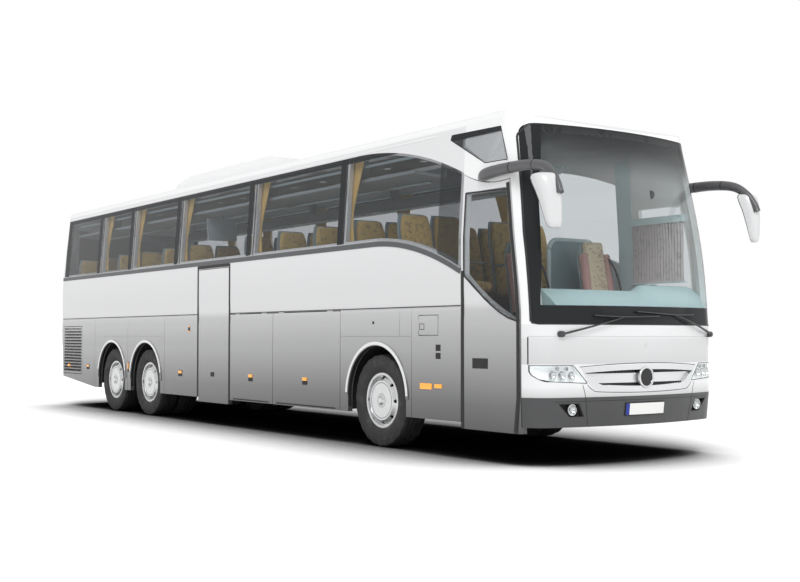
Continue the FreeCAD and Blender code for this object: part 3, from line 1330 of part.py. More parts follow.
def double_seat(front_s, sign):
    """Two seats on one shared pedestal beside the aisle; sign gives the side."""
    half = SEAT_WIDTH / 2
    near = SEAT_AISLE_X + half
    far = near + SEAT_WIDTH + SEAT_SPLIT
    shapes = []
    for x in (near, far):
        shapes.append(side_prism(seat_profile(front_s, DECK_TOP_Z, SEAT_BACK_TOP_Z), sign * x - half, sign * x + half))
    foot = SEAT_PEDESTAL / 2
    middle = front_s + SEAT_CUSHION_RUN / 2
    top = DECK_TOP_Z + SEAT_CUSHION_Z - SEAT_CUSHION_THICK
    x_from, x_to = sorted((sign * near, sign * far))
    shapes.append(box(x_from, x_to, middle - foot, middle + foot, DECK_TOP_Z, top + SEAT_CUSHION_THICK / 2))
    return joined(shapes)


def passenger_seats():
    """Rows of double seats, left open beside the middle stairwell."""
    front, back = mid_stair_s()
    rows = [double_seat(SEAT_FIRST_S - SEAT_PITCH, -1), double_seat(SEAT_LEFT_FIRST_S, 1)]
    for number in range(SEAT_ROWS):
        start = SEAT_FIRST_S + number * SEAT_PITCH
        rows.append(double_seat(start, 1))
        if start + SEAT_CUSHION_RUN + SEAT_BACK_RAKE + SEAT_BACK_THICK < front or start > back:
            rows.append(double_seat(start, -1))
    return rows


def crew_seats():
    """Driver's seat and guide's seat on the platform."""
    return [crew_seat(DRIVER_X, DRIVER_SEAT_S), crew_seat(GUIDE_SEAT_X, GUIDE_SEAT_S)]


def steering_axis():
    """Direction of the steering column, pointing up and back to the driver."""
    tilt = math.radians(STEERING_TILT)
    return Vector(0, math.sin(tilt), math.cos(tilt))


def steering_centre():
    """Middle of the steering wheel's ring."""
    return Vector(DRIVER_X, station(STEERING_S), STEERING_Z)


def steering_wheel():
    """Ring, hub and three spokes."""
    axis, centre = steering_axis(), steering_centre()
    hub_foot = centre - axis * (STEERING_HUB_H / 2)
    hub = Part.makeCylinder(STEERING_HUB_R, STEERING_HUB_H, hub_foot, axis)
    side = Vector(1, 0, 0)
    up = axis.cross(side)
    corners = []
    for number in range(RING_SIDES):
        angle = 2 * math.pi * (number + 0.5) / RING_SIDES
        corners.append(centre + side * (STEERING_WHEEL_R + STEERING_RING_R * math.cos(angle))
                       + axis * (STEERING_RING_R * math.sin(angle)))
    ring = Part.Face(Part.makePolygon(corners + corners[:1])).revolve(centre, axis, 360)
    spokes = []
    for turn in (0, 120, 240):
        angle = math.radians(turn + 90)
        out = side * math.cos(angle) + up * math.sin(angle)
        spokes.append(Part.makeCylinder(SPOKE_R, STEERING_WHEEL_R, centre, out))
    wheel = joined([hub, ring] + spokes)
    bore = Part.makeCylinder(STEERING_SHAFT_R + KINGPIN_CLEAR, STEERING_HUB_H / 4, hub_foot, axis)
    return wheel.cut(bore)


def dashboard():
    """Dashboard across the cabin with the driver's hood and the steering column."""
    hood = side_prism(HOOD_PROFILE, HOOD_INNER_X, HOOD_OUTER_X)
    form = HOLLOW.common(side_prism(DASH_PROFILE, DASH_RIGHT_X, INNER_X).fuse(hood))
    axis, centre = steering_axis(), steering_centre()
    tip = centre - axis * (STEERING_HUB_H / 4 + EASE)
    shaft = Part.makeCylinder(STEERING_SHAFT_R, STEERING_SHAFT, tip, axis * -1)
    leg = box(DRIVER_X - STEERING_HUB_R, DRIVER_X + STEERING_HUB_R, PLATFORM_FRONT_S, PLATFORM_FRONT_S + HUB_R,
              PLATFORM_TOP_Z, DASH_PROFILE[0][1] + SPARE)
    return joined([form, shaft, leg])


def luggage_rack():
    """Right-hand rack over the seats, hung from the roof."""
    wall_x = half_width(RACK_FOOT_Z) - WALL - RACK_WALL_CLEAR
    foot, thick = RACK_FOOT_Z, RACK_THICK
    shelf = front_prism([(-wall_x, foot), (-RACK_INNER_X, foot - thick), (-RACK_INNER_X, foot + RACK_LIP),
                         (-RACK_INNER_X - thick, foot + RACK_LIP), (-RACK_INNER_X - thick, foot),
                         (-wall_x, foot + thick)], RACK_FRONT_S, TAIL_MEMBER_S)
    hangers = []
    for joint_s in WINDOW_JOINTS_S:
        hanger = box(-wall_x + RACK_THICK, -wall_x + RACK_THICK + HANGER_WIDTH, joint_s - thick / 2, joint_s + thick / 2,
                     foot, ROOF_TOP)
        hangers.append(hanger.common(HOLLOW))
    return joined([shelf] + hangers)


def luggage_racks():
    """Both racks."""
    rack = luggage_rack()
    return rack, mirrored(rack)


def curtain_layer():
    """Thin layer just inside the walls, where the curtains hang."""
    return body_form(WALL + EASE, LOW_Z).cut(body_form(WALL + CURTAIN_THICK, LOW_Z - OVERRUN))


def curtains():
    """Tied curtains at every window post, both sides."""
    layer = curtain_layer().common(box(-BODY_WIDTH, 0, FRONT_AXLE_S, BODY_LENGTH, BELT_Z, CANT_Z))
    drapes = []
    for joint_s in WINDOW_JOINTS_S:
        steps = [(joint_s - CURTAIN_FOOT_HALF, CURTAIN_FOOT_Z), (joint_s - CURTAIN_TIE_HALF, CURTAIN_TIE_Z),
                 (joint_s - CURTAIN_TOP_HALF, CURTAIN_TOP_Z), (joint_s + CURTAIN_TOP_HALF, CURTAIN_TOP_Z),
                 (joint_s + CURTAIN_TIE_HALF, CURTAIN_TIE_Z), (joint_s + CURTAIN_FOOT_HALF, CURTAIN_FOOT_Z)]
        drapes.append(layer.common(right_prism(steps)))
    return drapes + [mirrored(drape) for drape in drapes]


# Mirrors and wipers, as (x, station, height)
MIRROR_ARM = ((-1190.0, 1010.0, 2752.0, 50.0), (-1262.0, 880.0, 2768.0, 53.0), (-1285.0, 620.0, 2783.0, 50.0),
              (-1300.0, 260.0, 2782.0, 46.0), (-1318.0, 0.0, 2745.0, 42.0), (-1338.0, -140.0, 2660.0, 38.0),
              (-1352.0, -222.0, 2560.0, 35.0), (-1358.0, -268.0, 2470.0, 34.0))
# Mirror head as (height, x, back station, half width, thickness), foot to top
MIRROR_HEAD = ((2165.0, -1372.0, -200.0, 45.0, 40.0), (2195.0, -1371.0, -190.0, 68.0, 66.0),
               (2330.0, -1371.0, -160.0, 88.0, 100.0), (2500.0, -1372.0, -110.0, 112.0, 140.0),
               (2610.0, -1374.0, -60.0, 124.0, 160.0), (2655.0, -1375.0, -65.0, 105.0, 120.0))
MIRROR_EDGE_SHARE = 0.4
MIRROR_TOE = 20.0
WIPER_PIVOTS = ((-1000.0, 1225.0), (1095.0, 1225.0))
WIPER_TIPS = ((-300.0, 1388.0), (420.0, 1415.0))
WIPER_BLADES = (((-650.0, 1400.0), (165.0, 1400.0)), ((-140.0, 1440.0), (730.0, 1420.0)))
WIPER_BOSS_R = 24.0
WIPER_ARM_R = 10.0
WIPER_STAND = 26.0


def bar(points, radius):
    """Round bar through hand-picked points, with ball corners."""
    places = [Vector(x, station(s), z) for x, s, z in points]
    shapes = []
    for start, end in zip(places[:-1], places[1:]):
        shapes.append(Part.makeCylinder(radius, start.distanceToPoint(end), start, end - start))
    for place in places[1:-1]:
        shapes.append(Part.makeSphere(radius, place))
    return joined(shapes)


def limb(steps):
    """Tapering round limb through hand-picked (x, station, height, radius) places."""
    places = [Vector(x, station(s), z) for x, s, z, _ in steps]
    curve = Part.BSplineCurve()
    curve.interpolate(places)
    rings = []
    for place, step in zip(places, steps):
        along = curve.tangent(curve.parameter(place))[0]
        rings.append(Part.Wire(Part.Circle(place, along, step[3]).toShape()))
    return Part.makeLoft(rings, True)


def head_wire(z, x, back_s, half, thick):
    """Level section of the mirror head: flat at the back, bowed in front, turned outwards."""
    turn = math.radians(MIRROR_TOE)
    edge = thick * MIRROR_EDGE_SHARE

    def place(across, ahead):
        return Vector(x + across * math.cos(turn) - ahead * math.sin(turn),
                      station(back_s) - across * math.sin(turn) - ahead * math.cos(turn), z)

    return outline(place, [(-half, 0), (-half, edge), ((0, thick), (half, edge)), (half, 0)])


def mirror():
    """Right mirror: swept arm from the pillar and a tapering head, trimmed to its reach."""
    head = Part.makeLoft([head_wire(*level) for level in MIRROR_HEAD], True)
    whole = joined([head, limb(MIRROR_ARM)]).cut(OUTER)
    return whole.common(box(-BODY_WIDTH, 0, -MIRROR_REACH, BODY_LENGTH, 0, ROOF_TOP))


def mirrors():
    """Both outside mirrors."""
    right = mirror()
    return right, mirrored(right)


def nose_s(x, z):
    """Station of the nose surface at one place."""
    half = half_width(z) + SPARE
    reach = half - NOSE_CORNER_R
    drop = NOSE_BOW_R - math.sqrt((NOSE_BOW_R - NOSE_CORNER_R) ** 2 - reach ** 2)
    (join_x, _), _, _ = bowed_end(half, NOSE_BOW_R, NOSE_CORNER_R)
    if abs(x) <= join_x:
        return nose_lean(z) + NOSE_BOW_R - math.sqrt(NOSE_BOW_R ** 2 - x * x)
    return nose_lean(z) + drop - math.sqrt(NOSE_CORNER_R ** 2 - (abs(x) - reach) ** 2)


def wiper(pivot, tip, blade):
    """One wiper: pivot boss, arm and blade, just off the glass."""
    x, z = pivot
    boss = rod_y(nose_s(x, z) - 2 * WIPER_STAND, nose_s(x, z) + WALL, x, z, WIPER_BOSS_R).cut(OUTER)
    arm = bar([(x, nose_s(x, z) - 1.5 * WIPER_STAND, z), (tip[0], nose_s(*tip) - 1.5 * WIPER_STAND, tip[1])], WIPER_ARM_R)
    (x_from, z_from), (x_to, z_to) = blade
    points = [(x_from, nose_s(x_from, z_from) - WIPER_STAND, z_from), (tip[0], nose_s(*tip) - WIPER_STAND, tip[1]),
              (x_to, nose_s(x_to, z_to) - WIPER_STAND, z_to)]
    return joined([boss, arm, bar(points, WIPER_ARM_R)])


def wipers():
    """Both wipers in their parked place."""
    return [wiper(*parts) for parts in zip(WIPER_PIVOTS, WIPER_TIPS, WIPER_BLADES)]


# Marker lamps on fixed panels, as (front station, rear station, foot, top)
MARKERS = ((1561.0, 1677.0, 679.0, 720.0), (1728.0, 1925.0, 663.0, 723.0), (9640.0, 9670.0, 690.0, 790.0),
           (11360.0, 11450.0, 690.0, 725.0))
LOCKER_MARKER = (7690.0, 7790.0, 672.0, 712.0)
MARKER_PROUD = 8.0
FLAP_MARKER_HALF = 45.0
FLAP_MARKER_FOOT_Z = 675.0
FLAP_MARKER_TOP_Z = 712.0


def marker_lamps():
    """Amber side lamps of both sides, and the one on the right locker wall."""
    lamps = [box(-HALF - MARKER_PROUD, -HALF, *spans) for spans in MARKERS]
    locker = box(-HALF - MARKER_PROUD, -HALF, *LOCKER_MARKER)
    return lamps + [mirrored(lamp) for lamp in lamps] + [locker]


def marked_flap(front, back):
    """Luggage flap with its side lamp."""
    middle = (front + back) / 2
    lamp = box(-HALF - MARKER_PROUD, -HALF, middle - FLAP_MARKER_HALF, middle + FLAP_MARKER_HALF,
               FLAP_MARKER_FOOT_Z, FLAP_MARKER_TOP_Z)
    hinges = [moving_hinge(frame) for frame in flap_hinges(front, back)]
    return joined([luggage_flap(front, back), lamp] + hinges)


def side_glass():
    """Panes of both sides, with the driver's window and the dark quarter panes."""
    panes = side_panes() + [SKIN.common(right_prism(QUARTER_GLASS))]
    driver = mirrored(front_door_glass())
    return panes + [mirrored(pane) for pane in panes] + [driver]


def engine_block():
    """Engine and gearbox as one closed mass between the rails."""
    return box(-RAIL_INNER_X, RAIL_INNER_X, ENGINE_FRONT_S, TAIL_MEMBER_S - BULKHEAD, ENGINE_FOOT_Z, ENGINE_TOP_Z)


def front_column_s():
    """Station of the front door's column."""
    return PILLAR_S + COLUMN_BACK


def mid_column_s():
    """Station of the middle door's column."""
    return MID_DOOR_REAR_S - COLUMN_BACK


def front_door_arm():
    """Column and arm of the front door, standing on the entrance floor."""
    s = front_column_s()
    return door_arm(s, s + ARM_LENGTH, FRONT_ARM_Z, BAY_FLOOR_TOP_Z + EASE, COLUMN_TOP_Z)


def mid_door_arm():
    """Column and arm of the middle door, standing on the lowest step."""
    s = mid_column_s()
    rise = (DECK_TOP_Z - BAY_FLOOR_TOP_Z) / (STEP_COUNT + 1)
    return door_arm(s, s - ARM_LENGTH, MID_ARM_Z, BAY_FLOOR_TOP_Z + rise + EASE, MID_COLUMN_TOP_Z)


def spindle_tip(extra):
    """x where a spindle ends inside the hub, from the middle of the wheel."""
    return WHEEL_X + RIM_HALF_WIDTH / 2 - 2 * COVER_PLATE - extra


def rear_axles():
    """Drive axle with its differential, and the tag axle."""
    tip = spindle_tip(EASE)
    return carrying_axle(DRIVE_AXLE_S, tip, True), carrying_axle(TAG_AXLE_S, tip, False)


def write_wheels():
    """Rims and tyres of all six wheel bodies."""
    for name, axle_s in (("front", FRONT_AXLE_S), ("drive", DRIVE_AXLE_S), ("tag", TAG_AXLE_S)):
        twin = name == "drive"
        rim = twin_rim(axle_s) if twin else single_rim(axle_s)
        rubber = [tyre(-WHEEL_X, axle_s)] + ([tyre(-TWIN_X, axle_s)] if twin else [])
        keep(name + "_rim_right", rim)
        keep(name + "_tyre_right", *rubber)
        keep(name + "_rim_left", mirrored(rim))
        keep(name + "_tyre_left", *[mirrored(ring) for ring in rubber])


def write_flaps():
    """Luggage flaps of both sides, counted from the front."""
    for number, (front, back) in enumerate(flap_bays(True), 1):
        keep("luggage_flap_right_%d" % number, marked_flap(front, back))
    for number, (front, back) in enumerate(flap_bays(False), 1):
        keep("luggage_flap_left_%d" % number, mirrored(marked_flap(front, back)))


SINGLE_NODES = (
    side_wall_right, side_wall_left, roof_shell, nose_cap, windscreen, front_panel, front_bumper, front_skirt,
    front_grille, rear_panel, rear_glass, rear_bumper, roof_unit, underframe, floor_deck, front_axle, engine_lid,
    front_door, front_door_glass, front_door_arm, mid_door, mid_door_arm, filler_flap, engine_block, dashboard,
    steering_wheel)
GROUP_NODES = (tail_lamps, rear_axles, wheel_liners, crew_seats, passenger_seats, luggage_racks, curtains, mirrors,
               wipers, marker_lamps, side_glass)


def main():
    """Build every piece and write it."""
    os.makedirs("parts", exist_ok=True)
    for build in SINGLE_NODES:
        keep(build.__name__, build())
    for build in GROUP_NODES:
        keep(build.__name__, *build())
    keep("front_lamps", *headlamps(), *fog_lamps())
    keep("platform_and_steps", front_platform(), mid_stairs())
    knuckle = knuckle_right()
    keep("knuckle_right", knuckle)
    keep("knuckle_left", mirrored(knuckle))
    door = side_grille_door()
    keep("side_grille_door_right", door)
    keep("side_grille_door_left", mirrored(door))
    write_wheels()
    write_flaps()


main()
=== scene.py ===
"""Looks of a three-axle touring coach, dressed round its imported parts.

Lengths are metres. +Z is up, the ground is z = 0, the nose faces -Y and the doors are on the -X side.
Places along the coach are stations: distances behind the front-most face of the body.
"""
import json
import logging
import math
from dataclasses import dataclass, field, replace
from enum import Enum
from typing import Any, Callable, Optional, Sequence

import bmesh
import bpy
import numpy as np
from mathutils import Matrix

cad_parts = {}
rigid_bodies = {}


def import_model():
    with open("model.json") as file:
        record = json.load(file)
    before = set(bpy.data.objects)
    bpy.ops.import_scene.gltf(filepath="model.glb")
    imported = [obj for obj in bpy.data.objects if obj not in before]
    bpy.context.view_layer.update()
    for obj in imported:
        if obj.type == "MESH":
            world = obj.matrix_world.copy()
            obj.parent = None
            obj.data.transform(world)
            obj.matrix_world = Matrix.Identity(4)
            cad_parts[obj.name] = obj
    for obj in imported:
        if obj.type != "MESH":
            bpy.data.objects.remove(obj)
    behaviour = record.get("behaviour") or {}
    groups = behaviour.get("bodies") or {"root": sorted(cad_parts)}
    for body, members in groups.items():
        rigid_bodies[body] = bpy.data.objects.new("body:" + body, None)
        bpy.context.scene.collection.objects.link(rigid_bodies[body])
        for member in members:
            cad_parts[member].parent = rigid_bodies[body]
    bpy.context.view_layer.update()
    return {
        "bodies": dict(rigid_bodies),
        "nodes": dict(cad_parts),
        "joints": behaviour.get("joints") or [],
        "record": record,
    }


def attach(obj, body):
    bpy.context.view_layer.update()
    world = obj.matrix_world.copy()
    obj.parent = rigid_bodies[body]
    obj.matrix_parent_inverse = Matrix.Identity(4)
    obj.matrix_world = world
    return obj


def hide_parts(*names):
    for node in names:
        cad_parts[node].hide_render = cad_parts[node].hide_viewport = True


LOG = logging.getLogger("coach")
Array = np.ndarray
Colour = tuple[float, float, float]
Corners = Sequence[tuple[float, float]]
Frame = tuple[Array, Array, Array, Array]
Socket = bpy.types.NodeSocket
BODY = "body"
QUARTER = math.pi / 2

# Stations and heights that several pieces share.
AXLES = (("front", 2.740, False), ("drive", 9.000, True), ("tag", 10.350, False))
JOINTS = (3.423, 5.596, 7.827, 9.559, 10.876)
MID_DOOR = (6.239, 7.151)
FLAPS = (3.468, 5.037, 8.298)
ARCH_Z, ARCH_R = 0.545, 0.560
MID_LINE_Z = 1.508
DECK_Z, PLATFORM_Z = 1.35, 0.95


class Side(Enum):
    """Side of the coach; the value is the sign of x."""

    RIGHT = -1.0
    LEFT = 1.0

    @property
    def label(self) -> str:
        """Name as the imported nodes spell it."""
        return self.name.lower()


# ---------------------------------------------------------------- materials
class Tree:
    """A material's node tree, with short ways to add and join nodes."""

    def __init__(self, name: str) -> None:
        """Start an empty material.

        Args:
            name: the material's name.
        """
        self.material = bpy.data.materials.new(name)
        self.material.use_nodes = True
        self.tree = self.material.node_tree
        self.tree.nodes.clear()
        self.place = self.add("ShaderNodeTexCoord").outputs["Object"]

    def add(self, kind: str, inputs: Optional[dict[Any, Any]] = None, **props: Any) -> bpy.types.Node:
        """Add a node.

        Args:
            kind: the node's class name.
            inputs: values or sockets for its inputs, by name or number.
            props: its own settings.

        Returns:
            The new node.
        """
        node = self.tree.nodes.new(kind)
        for key, value in props.items():
            setattr(node, key, value)
        for key, value in (inputs or {}).items():
            if isinstance(value, Socket):
                self.tree.links.new(value, node.inputs[key])
            else:
                node.inputs[key].default_value = value
        return node

    def noise(self, scale: float, detail: float = 3.0) -> Socket:
        """Cloudy pattern from 0 to 1 in object space, with features per metre and octaves."""
        return self.add("ShaderNodeTexNoise", {"Vector": self.place, "Scale": scale, "Detail": detail}).outputs["Fac"]

    def axis(self, name: str) -> Socket:
        """One coordinate of the point in object space."""
        return self.add("ShaderNodeSeparateXYZ", {0: self.place}).outputs[name]

    def maths(self, operation: str, first: Any, *others: Any) -> Socket:
        """Combine values, two at a time from the left.

        Args:
            operation: Blender's name of the operation.
            first: value or socket.
            others: the values or sockets that follow.

        Returns:
            The result.
        """
        for other in others:
            first = self.add("ShaderNodeMath", {0: first, 1: other}, operation=operation).outputs[0]
        return first

    def step(self, value: Socket, low: float, high: float) -> Socket:
        """Smooth 0 to 1 as the value goes from low to high."""
        return self.add("ShaderNodeMapRange", {0: value, 1: low, 2: high}, interpolation_type="SMOOTHSTEP").outputs[0]

    def blend(self, share: Any, first: Any, second: Any) -> Socket:
        """Mix two colours or sockets: share 0 gives the first, 1 the second."""
        ends = {slot: end if isinstance(end, Socket) else (*end, 1.0) for slot, end in ((6, first), (7, second))}
        return self.add("ShaderNodeMix", {"Factor": share, **ends}, data_type="RGBA").outputs[2]

    def bump(self, height: Socket, depth: float, strength: float = 1.0) -> Socket:
        """Normal bent by a pattern from 0 to 1 of some depth in metres."""
        return self.add("ShaderNodeBump", {"Height": height, "Distance": depth, "Strength": strength}).outputs[0]

    def close(self, shader: Socket) -> bpy.types.Material:
        """Send a shader to the surface and return the material."""
        self.add("ShaderNodeOutputMaterial", {"Surface": shader})
        return self.material


@dataclass(frozen=True)
class Finish:
    """A surface finish: colour, gloss, mottling and grain."""

    name: str
    colour: Colour
    roughness: float = 0.5
    metallic: float = 0.0
    coat: float = 0.0
    sheen: float = 0.0
    mottle: float = 0.12
    mottle_scale: float = 3.0
    grain: float = 0.00005
    grain_scale: float = 900.0
    made: dict[str, bpy.types.Material] = field(default_factory=dict, compare=False, hash=False)

    def base(self, tree: Tree) -> Socket:
        """Base colour: the plain colour, darkened in clouds."""
        dark = tuple(c * (1.0 - self.mottle) for c in self.colour)
        return tree.blend(tree.noise(self.mottle_scale, 4.0), self.colour, dark)

    def relief(self, tree: Tree) -> Socket:
        """Fine grain of the surface."""
        return tree.bump(tree.noise(self.grain_scale, 2.0), self.grain)

    def gloss(self, tree: Tree) -> Socket:
        """Roughness, a little uneven."""
        return tree.add("ShaderNodeMapRange", {0: tree.noise(self.mottle_scale * 4.0), 3: self.roughness * 0.85,
                                               4: min(1.0, self.roughness * 1.2)}).outputs[0]

    def shader(self, tree: Tree) -> Socket:
        """The finish's shader."""
        return tree.add("ShaderNodeBsdfPrincipled", {
            "Base Color": self.base(tree), "Roughness": self.gloss(tree), "Metallic": self.metallic,
            "Coat Weight": self.coat, "Coat Roughness": 0.05, "Sheen Weight": self.sheen,
            "Normal": self.relief(tree)}).outputs[0]

    def material(self) -> bpy.types.Material:
        """The finish's material, made once."""
        if self.name not in self.made:
            tree = Tree(self.name)
            self.made[self.name] = tree.close(self.shader(tree))
        return self.made[self.name]


@dataclass(frozen=True)
class GradedPaint(Finish):
    """Silver paint with painted shade: its grey darkens towards the skirt by (height, grey) stops."""

    # Painted shade by height: the grey falls towards the ground, with a lighter step above the middle line.
    stops: Corners = ((0.30, 0.06), (0.55, 0.12), (1.00, 0.32), (1.46, 0.54), (1.53, 0.70), (2.30, 0.80))
    tint: Colour = (0.995, 1.0, 1.01)

    def base(self, tree: Tree) -> Socket:
        """Base colour by height, which paints the shade, with the faintest mottling."""
        low, high = self.stops[0][0], self.stops[-1][0]
        height = tree.add("ShaderNodeMapRange", {0: tree.axis("Z"), 1: low, 2: high})
        ramp = tree.add("ShaderNodeValToRGB", {"Fac": height.outputs[0]})
        while len(ramp.color_ramp.elements) < len(self.stops):
            ramp.color_ramp.elements.new(0.5)
        for element, (z, grey) in zip(ramp.color_ramp.elements, self.stops):
            element.position = (z - low) / (high - low)
            element.color = (*(grey * t for t in self.tint), 1.0)
        return tree.blend(tree.maths("MULTIPLY", tree.noise(1.5), self.mottle), ramp.outputs[0], (0.4, 0.4, 0.41))


@dataclass(frozen=True)
class Pane(Finish):
    """Glass: clear to look through, glossy at a glance, with an optional painted border."""

    opacity: float = 0.0
    border: Optional[Callable[[Tree], Socket]] = None

    def shader(self, tree: Tree) -> Socket:
        """Tinted see-through film under a mirror sheen."""
        clear = tree.add("ShaderNodeBsdfTransparent", {"Color": (*self.colour, 1.0)}).outputs[0]
        film = tree.add("ShaderNodeBsdfPrincipled", {
            "Base Color": (0.02, 0.022, 0.024, 1.0), "Roughness": self.roughness,
            "Specular IOR Level": 0.15}).outputs[0]
        facing = tree.add("ShaderNodeLayerWeight", {"Blend": 0.5}).outputs["Facing"]
        rise = tree.maths("ADD", 0.04, tree.maths("MULTIPLY", tree.maths("POWER", facing, 5.0), 0.96))
        front = tree.maths("SUBTRACT", 1.0, tree.add("ShaderNodeNewGeometry").outputs["Backfacing"])
        sheen = tree.maths("MULTIPLY", rise, front)
        mirror = tree.add("ShaderNodeBsdfGlossy", {"Color": (1, 1, 1, 1), "Roughness": self.roughness}).outputs[0]
        coat = tree.add("ShaderNodeMixShader", {0: sheen, 1: clear, 2: mirror}).outputs[0]
        cover = self.opacity if self.border is None else tree.maths("MAXIMUM", self.border(tree), self.opacity)
        return tree.add("ShaderNodeMixShader", {0: cover, 1: coat, 2: film}).outputs[0]


@dataclass(frozen=True)
class Cloth(Finish):
    """Woven cloth with a soft figure of two more colours."""

    second: Colour = (0.3, 0.3, 0.3)
    third: Colour = (0.2, 0.1, 0.1)
    figure_scale: float = 18.0
    thread: float = 700.0
    cover: float = 0.55

    def base(self, tree: Tree) -> Socket:
        """Ground colour with blotches and small sprigs."""
        blotch = tree.step(tree.noise(self.figure_scale, 2.0), self.cover, self.cover + 0.06)
        ground = tree.blend(blotch, self.colour, self.second)
        cells = tree.add("ShaderNodeTexVoronoi", {"Vector": tree.place, "Scale": self.figure_scale * 2.5})
        sprig = tree.step(cells.outputs["Distance"], 0.30, 0.18)
        return tree.blend(tree.maths("MULTIPLY", sprig, 0.7), ground, self.third)

    def relief(self, tree: Tree) -> Socket:
        """Threads that cross."""
        waves = [tree.add("ShaderNodeTexWave", {"Vector": tree.place, "Scale": self.thread / 20.0, "Distortion": 0.4},
                          bands_direction=way).outputs["Fac"] for way in ("X", "Z")]
        return tree.bump(tree.maths("MAXIMUM", *waves), 0.0006, 0.5)


@dataclass(frozen=True)
class Ribbed(Finish):
    """Finish with fine parallel ribs."""

    rib_scale: float = 60.0
    rib_depth: float = 0.002

    def relief(self, tree: Tree) -> Socket:
        """Fine parallel ribs."""
        wave = tree.add("ShaderNodeTexWave", {"Vector": tree.place, "Scale": self.rib_scale})
        return tree.bump(wave.outputs["Fac"], self.rib_depth, 0.7)


@dataclass(frozen=True)
class Tyre(Finish):
    """Rubber with road dust on the sidewall."""

    def base(self, tree: Tree) -> Socket:
        """Near black, greyer in clouds of dust."""
        dust = tree.step(tree.noise(9.0, 5.0), 0.45, 0.8)
        return tree.blend(tree.maths("MULTIPLY", dust, 0.5), self.colour, (0.09, 0.088, 0.085))


@dataclass(frozen=True)
class Glow(Finish):
    """Lens plastic with moulded optics and a faint painted glow of its own colour on every part that wears it, lamp or
    reflector.
    """

    shine: float = 0.25
    cell: float = 160.0

    def relief(self, tree: Tree) -> Socket:
        """Small pillow optics."""
        cells = tree.add("ShaderNodeTexVoronoi", {"Vector": tree.place, "Scale": self.cell, "Randomness": 0.0})
        return tree.bump(cells.outputs["Distance"], 0.0015, 0.8)

    def shader(self, tree: Tree) -> Socket:
        """Glossy plastic plus a faint painted glow of its own colour."""
        return tree.add("ShaderNodeBsdfPrincipled", {
            "Base Color": self.base(tree), "Roughness": self.gloss(tree), "Coat Weight": self.coat,
            "Emission Color": (*self.colour, 1.0), "Emission Strength": self.shine,
            "Normal": self.relief(tree)}).outputs[0]


